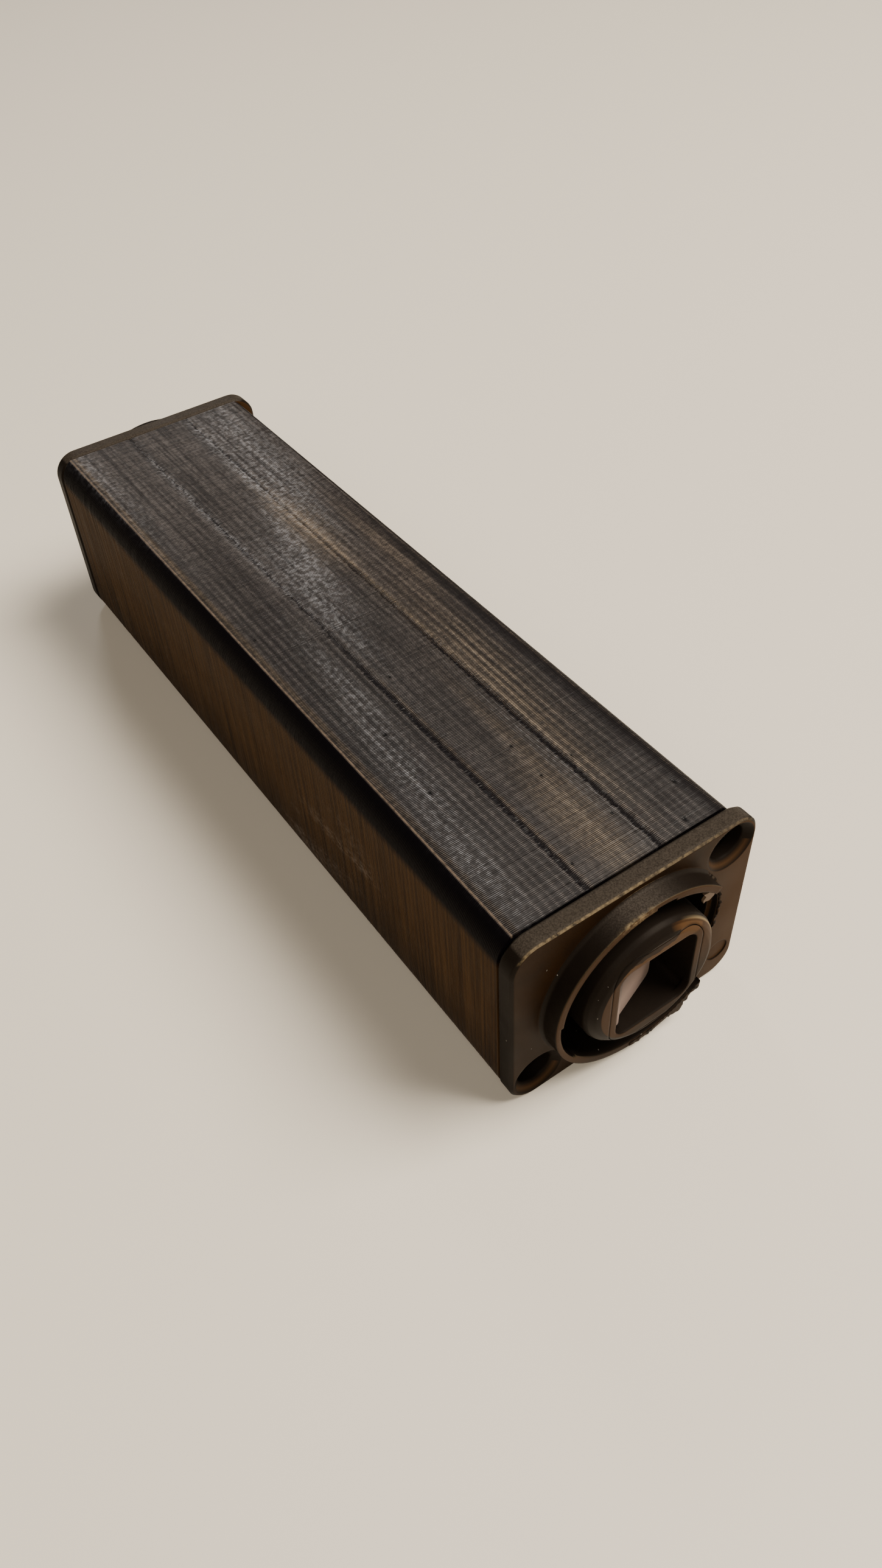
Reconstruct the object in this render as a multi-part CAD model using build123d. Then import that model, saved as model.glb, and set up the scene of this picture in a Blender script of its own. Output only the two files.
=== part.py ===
from build123d import *
import os

os.makedirs("parts", exist_ok=True)

# A fibre optic coupler: a printed square sleeve with a duplex fibre receptacle in each end.
# +X points out of the near receptacle, +Y to its right, +Z up, and the origin lies on the
# surface under the middle of the coupler. All lengths are in millimetres.

# Printed sleeve
sleeve_length = 102.9
sleeve_side_wall = 2.8
sleeve_thinnest_wall = 0.9
sleeve_sideways_shift = -0.6
sleeve_corner_radius = 3.7
sleeve_edge_inset = 1.7
sleeve_bore_clearance = 0.2
sleeve_seat_gap = 0.2
shrink_line_offset = 4.5
shrink_line_width = 0.4
shrink_line_depth = 0.15
pilot_radius = 1.25
pilot_depth = 12.0

# Receptacle flange, in the common 26 by 31 mm panel size
flange_overhang_across = 0.7
flange_overhang_up = 0.1
flange_thickness = 2.2
flange_corner_radius = 3.2
flange_edge_chamfer = 0.3
screw_edge_distance = 3.5
screw_hole_radius = 2.2
screw_mouth_radius = 3.1
screw_mouth_depth = 0.8
corner_dish_radius = 1.5
corner_dish_depth = 0.15
corner_dish_inset_across = 2.4
corner_dish_inset_up = 4.1

# Receptacle barrel, collar and core
barrel_radius = 11.8
barrel_depth = 24.0
barrel_wall = 1.4
barrel_rear_chamfer = 0.6
collar_wall = 0.9
collar_height = 2.3
collar_root_chamfer = 0.3
groove_width = 2.5
groove_depth = 14.0
keyway_depth = 0.3
core_height = 3.5
core_shoulder_chamfer = 1.0
core_shoulder_softening = 0.3
broken_root_depth = 0.8
broken_root_margin = 0.2
cut_overrun = 1.0

# Angles round the connector axis, from +Y towards +Z, in degrees
keyway_starts_and_sweeps = ((77, 13), (176, 39))
broken_collar_start = -53
broken_collar_sweep = 94

# Adapter frame, the moulded tube in the core
frame_bed_across = 2.6
frame_bed_up = 1.6
frame_corner_radius = 3.3
frame_length = 11.0
frame_seam = 0.08
frame_side_wall = 0.8
frame_end_wall = 1.45
mouth_corner_radius = 1.7
mouth_lip = 0.85
chamber_corner_radius = 0.6
port_relief_wall = 1.05
port_relief_depth = 5.5

# Shutter flap and its pin
hinge_inset = 1.05
hinge_depth = 1.71
knuckle_radius = 0.7
shutter_side_gap = 1.65
shutter_thickness = 0.7
shutter_front_offset = 0.3
shutter_end_gap = 0.3
shutter_corner_radius = 0.8
pin_radius = 0.4
pin_end_inset = 0.6
pin_running_clearance = 0.05
pin_seat_clearance = 0.02
near_shutter_angle = 20
far_shutter_angle = 0

# Duplex fibre adapter
adapter_width = 9.4
adapter_height = 13.0
adapter_length = 13.0
adapter_corner_radius = 0.9
adapter_front_gap = 0.4
adapter_fit = 0.05
adapter_rim_width = 12.0
adapter_rim_height = 15.4
adapter_rim_thickness = 1.2
adapter_rim_setback = 7.6
port_pitch = 6.25
port_size = 4.6
adapter_web = 1.8
latch_slot_width = 2.4
latch_slot_depth = 1.2
holder_radius = 1.15
holder_length = 7.0

# Split alignment sleeves
alignment_radius = 0.8
alignment_wall = 0.16
alignment_length = 6.8
alignment_slot = 0.2
alignment_fit = 0.02

# Retainer disc behind the adapter
retainer_thickness = 2.0
retainer_fit = 0.05
retainer_notch_width = 3.0
retainer_notch_depth = 1.2

# Plugs, ferrules, boots and leads between the two adapters
plug_size = 4.42
plug_length = 11.1
plug_seat_gap = 0.1
nose_hollow_size = 3.0
nose_hollow_depth = 4.0
latch_arm_width = 2.0
latch_arm_thickness = 0.7
latch_arm_length = 8.0
latch_root_length = 1.6
latch_arm_rise = 0.9
ferrule_radius = 0.625
ferrule_length = 7.0
ferrule_fit = 0.015
ferrule_meeting_gap = 0.05
boot_length = 11.5
boot_radius = 1.8
boot_end_taper = 0.6
lead_radius = 1.0
lead_fit = 0.05
lead_seat = 4.0
clip_width = 5.8
clip_height = 12.0
clip_length = 3.0
clip_gap = 1.1
clip_corner_radius = 0.8
clip_fit = 0.04

# Places worked out from the sizes above. Depths run inwards from the flange's front face.
flange_face = sleeve_length / 2 + sleeve_seat_gap + flange_thickness
groove_outer_radius = barrel_radius - collar_wall
core_radius = groove_outer_radius - groove_width
barrel_counterbore_radius = barrel_radius - barrel_wall
frame_width = (core_radius - frame_bed_across) * 2
frame_height = (core_radius - frame_bed_up) * 2
mouth_width = frame_width - frame_side_wall * 2
mouth_height = frame_height - frame_end_wall * 2
port_relief_height = frame_height - port_relief_wall * 2
shutter_reach = mouth_width - hinge_inset - shutter_side_gap
pin_length = frame_height - pin_end_inset * 2
sleeve_bore_radius = barrel_radius + sleeve_bore_clearance
sleeve_width = (sleeve_bore_radius + sleeve_side_wall) * 2
sleeve_height = (sleeve_bore_radius + sleeve_thinnest_wall) * 2
flange_width = sleeve_width + flange_overhang_across * 2
flange_height = sleeve_height + flange_overhang_up * 2
axis_height = flange_height / 2
screw_spacing_across = flange_width - screw_edge_distance * 2
screw_spacing_up = flange_height - screw_edge_distance * 2
frame_back = frame_length - core_height
hinge_across = hinge_inset - mouth_width / 2
hinge_out = core_height - hinge_depth
adapter_front = frame_back + adapter_front_gap
adapter_back = adapter_front + adapter_length
adapter_middle = adapter_front + adapter_length / 2
rim_front = adapter_front + adapter_rim_setback
retainer_front = rim_front + adapter_rim_thickness + retainer_fit
port_depth = (adapter_length - adapter_web) / 2
plug_front = adapter_back - port_depth + plug_seat_gap
plug_back = plug_front + plug_length
boot_back = plug_back + boot_length
holder_bore_radius = alignment_radius + alignment_fit

# One frame for each end: X to the right, Y up and Z outwards, from the flange's front face
near_end = Plane(origin=(flange_face, 0, axis_height), x_dir=(0, 1, 0), z_dir=(1, 0, 0))
far_end = Plane(origin=(-flange_face, 0, axis_height), x_dir=(0, -1, 0), z_dir=(-1, 0, 0))


def disc(radius, deep, out):
    """A cylinder on the connector axis, from a depth to a height over the flange face."""
    return Pos(0, 0, -deep) * Cylinder(radius, deep + out, align=(Align.CENTER, Align.CENTER, Align.MIN))


def block(width, height, corner, deep, out):
    """A rounded bar on the connector axis, from a depth to a height over the flange face."""
    return Pos(0, 0, -deep) * extrude(RectangleRounded(width, height, corner), amount=deep + out)


def square_hole(size, deep, out):
    """A square bar on the connector axis, for ports and plugs."""
    return Pos(0, 0, -deep) * extrude(Rectangle(size, size), amount=deep + out)


def ring_sector(inner, outer, deep, out, start, sweep):
    """Part of a ring round the connector axis."""
    section = Pos((inner + outer) / 2, (out - deep) / 2) * Rectangle(outer - inner, out + deep)
    return Rot(0, 0, start) * revolve(Plane.XZ * section, axis=Axis.Z, revolution_arc=sweep)


# Sleeve


def sleeve_section():
    """The outer outline: corner arcs that end in a visible edge where the flats cut them."""
    arc_across = sleeve_corner_radius - sleeve_edge_inset
    arc_up = (sleeve_corner_radius**2 - arc_across**2) ** 0.5
    full_height = sleeve_height + (sleeve_corner_radius - arc_up) * 2
    rounded = RectangleRounded(sleeve_width, full_height, sleeve_corner_radius)
    return rounded & Rectangle(sleeve_width, sleeve_height)


def shrink_lines():
    """Four shallow lines where the print changes from thin wall to filled corner."""
    line = Box(sleeve_length, shrink_line_width, shrink_line_depth * 2)
    return [
        Pos(0, side * shrink_line_offset, axis_height + up * sleeve_height / 2) * line
        for side in (-1, 1)
        for up in (-1, 1)
    ]


def screw_points():
    """The two screw places of a flange, on a diagonal."""
    return [(side * screw_spacing_across / 2, side * screw_spacing_up / 2) for side in (-1, 1)]


def printed_sleeve():
    ends = Plane(origin=(-sleeve_length / 2, 0, axis_height), x_dir=(0, 1, 0), z_dir=(1, 0, 0))
    bar = extrude(ends * Pos(sleeve_sideways_shift, 0) * sleeve_section(), amount=sleeve_length)
    bar -= extrude(ends * Circle(sleeve_bore_radius), amount=sleeve_length)
    bar -= shrink_lines()
    pilot_end = flange_thickness + sleeve_seat_gap + pilot_depth
    for end in (near_end, far_end):
        for across, up in screw_points():
            bar -= end.location * Pos(across, up, 0) * disc(pilot_radius, pilot_end, 0)
    return bar


# Receptacle


def flange_plate():
    plate = block(flange_width, flange_height, flange_corner_radius, flange_thickness, 0)
    rims = plate.faces().sort_by(Axis.Z)[-1].edges() + plate.faces().sort_by(Axis.Z)[0].edges()
    return chamfer(rims, flange_edge_chamfer)


def collar():
    """The thin ring wall on the flange, with a small slope at its root."""
    foot = barrel_radius + collar_root_chamfer
    outline = Polyline(
        (foot, 0),
        (foot, -flange_thickness / 2),
        (groove_outer_radius, -flange_thickness / 2),
        (groove_outer_radius, collar_height),
        (barrel_radius, collar_height),
        (barrel_radius, collar_root_chamfer),
        close=True,
    )
    return revolve(Plane.XZ * make_face(outline), axis=Axis.Z)


def core():
    """The round post, with a soft shoulder made of three slopes. The frame ends flush with it."""
    post = disc(core_radius, groove_depth, core_height)
    post = chamfer(post.faces().sort_by(Axis.Z)[-1].edges(), core_shoulder_chamfer)
    rims = post.edges().filter_by(GeomType.CIRCLE).sort_by(Axis.Z)[-2:]
    return chamfer(rims, core_shoulder_softening)


def barrel():
    drum = disc(barrel_radius, barrel_depth, 0)
    return chamfer(drum.faces().sort_by(Axis.Z)[0].edges(), barrel_rear_chamfer)


def screw_holes():
    """Countersunk screw holes, both of them empty."""
    cone = Pos(0, 0, -screw_mouth_depth) * Cone(
        screw_hole_radius,
        screw_mouth_radius,
        screw_mouth_depth,
        align=(Align.CENTER, Align.CENTER, Align.MIN),
    )
    hole = disc(screw_hole_radius, flange_thickness + cut_overrun, cut_overrun) + cone
    return [Pos(across, up, 0) * hole for across, up in screw_points()]


def inner_cavities():
    """The seats of the frame, the adapter and the retainer, from front to back."""
    seat = block(
        frame_width + frame_seam * 2,
        frame_height + frame_seam * 2,
        frame_corner_radius + frame_seam,
        frame_back,
        core_height + cut_overrun,
    )
    passage = block(
        adapter_width + adapter_fit * 2,
        adapter_height + adapter_fit * 2,
        adapter_corner_radius + adapter_fit,
        rim_front,
        0,
    )
    counterbore = Pos(0, 0, -rim_front) * disc(barrel_counterbore_radius, barrel_depth, 0)
    return [seat, passage, counterbore]


def receptacle(broken):
    """The moulded receptacle. The near one has lost the right side of its collar."""
    body = flange_plate() + barrel()
    body -= ring_sector(core_radius, groove_outer_radius, groove_depth, cut_overrun, 0, 360)
    body += core()
    body += collar()
    for start, sweep in keyway_starts_and_sweeps:
        outer = groove_outer_radius + keyway_depth
        inner = groove_outer_radius - keyway_depth
        body -= ring_sector(inner, outer, groove_depth, collar_height + cut_overrun, start, sweep)
    if broken:
        inner = (core_radius + groove_outer_radius) / 2
        outer = barrel_radius + collar_root_chamfer
        top = collar_height + cut_overrun
        body -= ring_sector(inner, outer, 0, top, broken_collar_start, broken_collar_sweep)
        root = barrel_radius - broken_root_margin
        deep = broken_root_depth
        body -= ring_sector(inner, root, deep, top, broken_collar_start, broken_collar_sweep)
    body -= inner_cavities()
    body -= screw_holes()
    dish_across = flange_width / 2 - corner_dish_inset_across
    dish_up = corner_dish_inset_up - flange_height / 2
    body -= Pos(dish_across, dish_up, 0) * disc(corner_dish_radius, corner_dish_depth, cut_overrun)
    return body


# Adapter frame and shutter


def adapter_frame():
    """A tube that lines the core, with a lipped mouth, the shutter's chamber and a relief."""
    body = block(frame_width, frame_height, frame_corner_radius, frame_back, core_height)
    body -= block(mouth_width, mouth_height, mouth_corner_radius, frame_back, core_height)
    chamber_out = core_height - mouth_lip
    body -= block(mouth_width, mouth_height, chamber_corner_radius, frame_back, chamber_out)
    relief_out = core_height - port_relief_depth
    body -= block(mouth_width, port_relief_height, chamber_corner_radius, frame_back, relief_out)
    hole = Cylinder(pin_radius + pin_seat_clearance, frame_height + cut_overrun, rotation=(90, 0, 0))
    body -= Pos(hinge_across, 0, hinge_out) * hole
    return body & core()


def shutter(angle):
    """A flap on one knuckle, drawn with its pin axis on Y and then turned to its angle."""
    height = mouth_height - shutter_end_gap * 2
    flat = Pos(0, 0, shutter_front_offset - shutter_thickness) * extrude(
        Pos(shutter_reach / 2, 0) * Rectangle(shutter_reach, height), amount=shutter_thickness
    )
    free_corners = flat.edges().filter_by(Axis.Z).sort_by(Axis.X)[-2:]
    flat = fillet(free_corners, shutter_corner_radius)
    knuckle = Cylinder(knuckle_radius, height, rotation=(90, 0, 0))
    hole = Cylinder(pin_radius + pin_running_clearance, height, rotation=(90, 0, 0))
    flap = flat + knuckle - hole
    return Pos(hinge_across, 0, hinge_out) * Rot(0, angle, 0) * flap


def shutter_pin():
    return Pos(hinge_across, 0, hinge_out) * Cylinder(pin_radius, pin_length, rotation=(90, 0, 0))


# Fibre adapter, its alignment sleeves and its retainer


def port_places():
    """The two ports stand one above the other."""
    return [Pos(0, side * port_pitch / 2, 0) for side in (-1, 1)]


def port(front, back):
    """One square port with the slot that a plug's latch needs."""
    hole = square_hole(port_size, back, -front)
    slot = Pos((port_size + latch_slot_depth) / 2, 0, -back) * extrude(
        Rectangle(latch_slot_depth, latch_slot_width), amount=back - front
    )
    return hole + slot


def fibre_adapter():
    body = block(adapter_width, adapter_height, adapter_corner_radius, adapter_back, -adapter_front)
    rim_back = rim_front + adapter_rim_thickness
    body += block(adapter_rim_width, adapter_rim_height, adapter_corner_radius, rim_back, -rim_front)
    half = holder_length / 2
    for place in port_places():
        body -= place * port(adapter_front, adapter_front + port_depth)
        body -= place * port(adapter_back - port_depth, adapter_back)
        body += place * disc(holder_radius, adapter_middle + half, half - adapter_middle)
        body -= place * disc(holder_bore_radius, adapter_middle + half, half - adapter_middle)
    return body


def alignment_sleeves():
    """Two thin split tubes in which the ferrules meet."""
    half = alignment_length / 2
    inner = alignment_radius - alignment_wall
    tube = disc(alignment_radius, adapter_middle + half, half - adapter_middle)
    tube -= disc(inner, adapter_middle + half, half - adapter_middle)
    tube -= Pos(alignment_radius, 0, -adapter_middle) * Box(
        alignment_radius, alignment_slot, alignment_length
    )
    return Compound(children=[place * tube for place in port_places()])


def adapter_retainer():
    """A disc that holds the adapter's rim against the core, with two notches to turn it by."""
    back = retainer_front + retainer_thickness
    body = disc(barrel_counterbore_radius - retainer_fit, back, -retainer_front)
    body -= block(
        adapter_width + adapter_fit * 2,
        adapter_height + adapter_fit * 2,
        adapter_corner_radius + adapter_fit,
        back,
        -retainer_front,
    )
    for side in (-1, 1):
        notch = Box(retainer_notch_depth * 2, retainer_notch_width, retainer_thickness)
        middle = retainer_front + retainer_thickness / 2
        body -= Pos(side * (barrel_counterbore_radius - retainer_fit), 0, -middle) * notch
    return body


# Plugs and leads, drawn on the connector axis and then moved to a port


def latch_arm():
    """The springy arm on the plug's side, rising backwards from its root."""
    side = plug_size / 2
    root_front = plug_front + latch_root_length
    outline = Polyline(
        (side, -plug_front),
        (side, -root_front),
        (side + latch_arm_rise, -plug_front - latch_arm_length),
        (side + latch_arm_rise + latch_arm_thickness, -plug_front - latch_arm_length),
        (side + latch_arm_thickness, -root_front),
        (side + latch_arm_thickness, -plug_front - latch_arm_thickness),
        close=True,
    )
    return extrude(Plane.XZ * make_face(outline), amount=latch_arm_width / 2, both=True)


def plug():
    body = square_hole(plug_size, plug_back, -plug_front)
    body -= square_hole(nose_hollow_size, plug_front + nose_hollow_depth, -plug_front)
    ferrule_seat = adapter_middle + ferrule_meeting_gap + ferrule_length
    body -= disc(ferrule_radius + ferrule_fit, ferrule_seat, -plug_front)
    body -= disc(lead_radius + lead_fit, plug_back, lead_seat - plug_back)
    return body + latch_arm()


def ferrule():
    front = adapter_middle + ferrule_meeting_gap
    return disc(ferrule_radius, front + ferrule_length, -front)


def boot():
    """A soft boot behind the plug, tapered at its end."""
    body = disc(boot_radius, boot_back, -plug_back)
    body = chamfer(body.faces().sort_by(Axis.Z)[0].edges(), boot_end_taper, boot_end_taper / 2)
    return body - disc(lead_radius + lead_fit, boot_back, -plug_back)


def duplex_clip():
    """A clip that holds the two plugs of one end together."""
    front = adapter_back + clip_gap
    body = block(clip_width, clip_height, clip_corner_radius, front + clip_length, -front)
    for place in port_places():
        body -= place * square_hole(plug_size + clip_fit * 2, front + clip_length, -front)
        opening = Pos(clip_width / 2, 0, -front - clip_length / 2)
        body -= place * opening * Box(clip_width, latch_slot_width, clip_length)
    return body


def fibre_lead(side):
    """The lead that runs straight from one end's plug to the other end's."""
    length = (flange_face - plug_back + lead_seat) * 2
    place = Pos(0, 0, axis_height + side * port_pitch / 2)
    return place * Cylinder(lead_radius, length, rotation=(0, 90, 0))


# Write every node


def write(name, shape):
    export_step(shape, f"parts/{name}.step")


def write_end(prefix, end, broken, shutter_angle):
    write(f"{prefix}_receptacle", end.location * receptacle(broken))
    write(f"{prefix}_adapter_frame", end.location * adapter_frame())
    write(f"{prefix}_shutter", end.location * shutter(shutter_angle))
    write(f"{prefix}_shutter_pin", end.location * shutter_pin())
    write(f"{prefix}_fibre_adapter", end.location * fibre_adapter())
    write(f"{prefix}_alignment_sleeves", end.location * alignment_sleeves())
    write(f"{prefix}_adapter_retainer", end.location * adapter_retainer())
    write(f"{prefix}_duplex_clip", end.location * duplex_clip())
    for row, place in zip(("lower", "upper"), port_places()):
        write(f"{prefix}_{row}_plug", end.location * place * plug())
        write(f"{prefix}_{row}_ferrule", end.location * place * ferrule())
        write(f"{prefix}_{row}_boot", end.location * place * boot())


write("printed_sleeve", printed_sleeve())
write_end("near", near_end, True, near_shutter_angle)
write_end("far", far_end, False, far_shutter_angle)
write("lower_fibre_lead", fibre_lead(-1))
write("upper_fibre_lead", fibre_lead(1))
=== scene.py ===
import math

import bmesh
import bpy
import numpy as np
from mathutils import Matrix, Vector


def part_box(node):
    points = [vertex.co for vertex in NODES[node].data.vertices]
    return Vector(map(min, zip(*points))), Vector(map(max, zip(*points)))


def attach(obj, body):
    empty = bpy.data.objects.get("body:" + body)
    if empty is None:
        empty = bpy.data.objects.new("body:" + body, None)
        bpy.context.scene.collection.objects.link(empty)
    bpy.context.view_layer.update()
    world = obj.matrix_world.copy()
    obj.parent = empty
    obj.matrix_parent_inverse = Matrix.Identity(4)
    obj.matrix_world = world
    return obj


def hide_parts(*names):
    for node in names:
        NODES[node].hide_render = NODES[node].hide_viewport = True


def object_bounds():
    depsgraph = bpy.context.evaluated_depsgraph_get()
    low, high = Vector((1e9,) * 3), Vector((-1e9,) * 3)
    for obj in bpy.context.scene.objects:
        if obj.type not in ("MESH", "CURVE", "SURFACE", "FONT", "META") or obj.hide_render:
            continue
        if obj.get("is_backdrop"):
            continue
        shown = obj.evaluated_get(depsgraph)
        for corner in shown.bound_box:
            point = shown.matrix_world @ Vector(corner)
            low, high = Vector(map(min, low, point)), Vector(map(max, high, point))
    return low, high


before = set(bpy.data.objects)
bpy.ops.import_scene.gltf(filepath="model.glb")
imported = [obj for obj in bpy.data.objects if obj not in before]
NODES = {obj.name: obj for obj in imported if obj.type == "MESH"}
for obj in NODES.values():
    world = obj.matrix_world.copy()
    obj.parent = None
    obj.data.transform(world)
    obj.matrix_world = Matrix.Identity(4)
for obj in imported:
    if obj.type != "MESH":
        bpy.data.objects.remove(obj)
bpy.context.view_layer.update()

# %% [markdown]
# A fibre optic coupler: a black printed sleeve, about 108 mm long, with a moulded black
# receptacle in each end. It lies on a table and the near receptacle faces the viewer. Its collar
# is broken on the right, and a pale flap stands ajar in its opening.
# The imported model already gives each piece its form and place. This script dresses it: it gives
# each piece its finish, builds the printed sleeve again with its real layers, adds the torn
# edges of the broken collar, and sets the floor, the lights and the camera.
# All lengths are in metres. MM turns millimetres into metres.

MM = 0.001

# %% [markdown]
# The camera comes first, because everything else is judged through it. Its place, its aim and
# its lens were worked out from the photograph: the corners of the two flanges, whose sizes are
# known, fix all three. The image is 1449 by 2576 pixels, and the lens is given in pixels too.
# Blender wants a focal length for a 36 mm sensor on the longer side, so it is converted.

# %% Camera
IMAGE_WIDTH, IMAGE_HEIGHT = 1449, 2576
FOCAL_PIXELS = 1951.65
SENSOR_WIDTH = 36.0
CAMERA_PLACE = Vector((102.61, -52.53, 113.87)) * MM
CAMERA_AIM = Vector((-0.58225, 0.36809, -0.72491))
CAMERA_UP = Vector((-0.57842, 0.43903, 0.68752))


def look_matrix(place, aim, up):
    """A camera looks along its own -Z, with +Y up, so those two directions make its matrix."""
    back = -aim.normalized()
    right = up.cross(back).normalized()
    true_up = back.cross(right)
    rows = [(right[i], true_up[i], back[i], place[i]) for i in range(3)]
    return rows + [(0.0, 0.0, 0.0, 1.0)]


camera_data = bpy.data.cameras.new("photo_camera")
camera_data.sensor_width = SENSOR_WIDTH
camera_data.lens = FOCAL_PIXELS / max(IMAGE_WIDTH, IMAGE_HEIGHT) * SENSOR_WIDTH
camera_data.clip_start = 1 * MM
camera = bpy.data.objects.new("photo_camera", camera_data)
bpy.context.scene.collection.objects.link(camera)
camera.matrix_world = Matrix(look_matrix(CAMERA_PLACE, CAMERA_AIM, CAMERA_UP))
bpy.context.scene.camera = camera
print("lens", round(camera_data.lens, 2), "mm")

# %% [markdown]
# The floor is one large pale plane, so it shows the soft shadow of the coupler. It is marked as
# stage, which keeps it out of the object.

# %% Floor
FLOOR_HALF_SIZE = 3.0
FLOOR_COLOR = (0.72, 0.62, 0.48, 1.0)
FLOOR_ROUGHNESS = 0.6


def new_material(name):
    """A material with its nodes ready: returns the material, its node tree and its shader."""
    material = bpy.data.materials.new(name)
    material.use_nodes = True
    tree = material.node_tree
    return material, tree, tree.nodes["Principled BSDF"]


corners = [(-1, -1), (1, -1), (1, 1), (-1, 1)]
floor_mesh = bpy.data.meshes.new("floor")
floor_points = [(x * FLOOR_HALF_SIZE, y * FLOOR_HALF_SIZE, 0) for x, y in corners]
floor_mesh.from_pydata(floor_points, [], [(0, 1, 2, 3)])
floor = bpy.data.objects.new("floor", floor_mesh)
bpy.context.scene.collection.objects.link(floor)
floor_material, _, floor_shader = new_material("pale_floor")
floor_shader.inputs["Base Color"].default_value = FLOOR_COLOR
floor_shader.inputs["Roughness"].default_value = FLOOR_ROUGHNESS
floor_mesh.materials.append(floor_material)
floor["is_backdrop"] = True
print("the floor is", 2 * FLOOR_HALF_SIZE, "m wide")

# %% [markdown]
# The world is a plain gradient: pale at the horizon and dim above. Black plastic shows what it
# reflects, and a bright sky would turn it grey.

# %% World
HORIZON_COLOR = (0.70, 0.62, 0.50, 1.0)
SKY_COLOR = (0.030, 0.029, 0.029, 1.0)
HORIZON_END = 0.02
SKY_START = 0.18
world = bpy.data.worlds.new("studio")
world.use_nodes = True
bpy.context.scene.world = world
sky = world.node_tree
coords = sky.nodes.new("ShaderNodeTexCoord")
split = sky.nodes.new("ShaderNodeSeparateXYZ")
ramp = sky.nodes.new("ShaderNodeValToRGB")
ramp.color_ramp.elements[0].position = HORIZON_END
ramp.color_ramp.elements[0].color = HORIZON_COLOR
ramp.color_ramp.elements[1].position = SKY_START
ramp.color_ramp.elements[1].color = SKY_COLOR
sky.links.new(coords.outputs["Generated"], split.inputs[0])
sky.links.new(split.outputs["Z"], ramp.inputs[0])
sky.links.new(ramp.outputs[0], sky.nodes["Background"].inputs["Color"])
sky.nodes["Background"].inputs["Strength"].default_value = 1.0
print("the sky is dim above", SKY_START)

# %% [markdown]
# Three square lamps aim at the middle of the coupler. The key lamp and the fill lamp are large,
# so their shadows are soft. The sheen lamp is small and low behind the far end, so that its
# light slides along the print layers and shows them.

# %% Lamps


def soft_lamp(name, place, aim, size, watts, color):
    """A square lamp at a place, turned towards a point."""
    data = bpy.data.lights.new(name, "AREA")
    data.shape = "SQUARE"
    data.size = size
    data.energy = watts
    data.color = color
    lamp = bpy.data.objects.new(name, data)
    lamp.location = place
    lamp.rotation_euler = (Vector(aim) - Vector(place)).to_track_quat("-Z", "Y").to_euler()
    bpy.context.scene.collection.objects.link(lamp)


# Each lamp: name, place, size, watts and colour
LAMPS = (
    ("key_lamp", (0.30, 0.50, 0.85), 0.55, 22.0, (1.0, 0.97, 0.93)),
    ("sheen_lamp", (-0.62, 0.20, 0.46), 0.13, 0.8, (0.96, 0.98, 1.0)),
    ("fill_lamp", (0.60, -0.50, 0.75), 0.6, 6.0, (1.0, 0.97, 0.92)),
)
AXIS_MM = 13.0
MIDDLE = Vector((0, 0, AXIS_MM * MM))
for name, place, size, watts, color in LAMPS:
    soft_lamp(name, place, MIDDLE, size, watts, color)
print("lamps:", len(LAMPS))

# %% [markdown]
# The finishes are made of shader nodes. A few short functions write them, so that a material
# reads like a list of its effects. The first ones make a group, a node and a math node.

# %% Helpers for groups and nodes


def new_group(name, inputs, outputs):
    """An empty shader node group with named sockets."""
    group = bpy.data.node_groups.new(name, "ShaderNodeTree")
    for label, kind, value in inputs:
        socket = group.interface.new_socket(label, in_out="INPUT", socket_type=kind)
        if value is not None:
            socket.default_value = value
    for label, kind in outputs:
        group.interface.new_socket(label, in_out="OUTPUT", socket_type=kind)
    return group, group.nodes.new("NodeGroupInput"), group.nodes.new("NodeGroupOutput")


def add(tree, kind, **settings):
    """A node with some of its own settings, such as operation or data_type."""
    node = tree.nodes.new(kind)
    for name, value in settings.items():
        setattr(node, name, value)
    return node


def math_node(tree, operation, first, second=None, clamp=False):
    """A math node whose inputs are numbers or other nodes' outputs."""
    node = add(tree, "ShaderNodeMath", operation=operation, use_clamp=clamp)
    for socket, value in zip(node.inputs, (first, second)):
        if isinstance(value, (int, float)):
            socket.default_value = value
        elif value is not None:
            tree.links.new(value, socket)
    return node.outputs[0]


def place_group(tree, group, **values):
    """A group node with its own values. Underscores in a name stand for spaces."""
    node = tree.nodes.new("ShaderNodeGroup")
    node.node_tree = group
    for name, value in values.items():
        node.inputs[name.replace("_", " ")].default_value = value
    return node


# %% [markdown]
# A mask is a value from 0 to 1 that says where an effect shows. Masks come from comparing
# values, and they are joined by multiplying them.

# %% Helpers for values and masks


def product(tree, *values):
    """All the values multiplied, and kept between 0 and 1."""
    total = values[0]
    for value in values[1:]:
        total = math_node(tree, "MULTIPLY", total, value, clamp=True)
    return total


def scaled(tree, value, gain, base):
    """A value times a gain, with a base added."""
    return math_node(tree, "ADD", math_node(tree, "MULTIPLY", value, gain), base)


def centred(tree, value):
    """A noise or a chance moved down by a half, so that it lies about 0."""
    return math_node(tree, "SUBTRACT", value, 0.5)


def inverted(tree, value):
    """One minus a value."""
    return math_node(tree, "SUBTRACT", 1.0, value)


def above(tree, value, limit, softness):
    """A mask that rises from 0 to 1 as a value passes a limit."""
    past = math_node(tree, "SUBTRACT", value, limit)
    return math_node(tree, "DIVIDE", past, softness, clamp=True)


def near_value(tree, value, target, reach):
    """A mask that is 1 where a value equals its target and falls to 0 at the reach."""
    away = math_node(tree, "ABSOLUTE", math_node(tree, "SUBTRACT", value, target))
    share = math_node(tree, "DIVIDE", away, reach)
    return math_node(tree, "SUBTRACT", 1.0, share, clamp=True)


def distance(tree, across, up):
    """The length of the line to a point that lies so far across and so far up."""
    squares = [math_node(tree, "MULTIPLY", side, side) for side in (across, up)]
    return math_node(tree, "SQRT", math_node(tree, "ADD", *squares))


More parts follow.
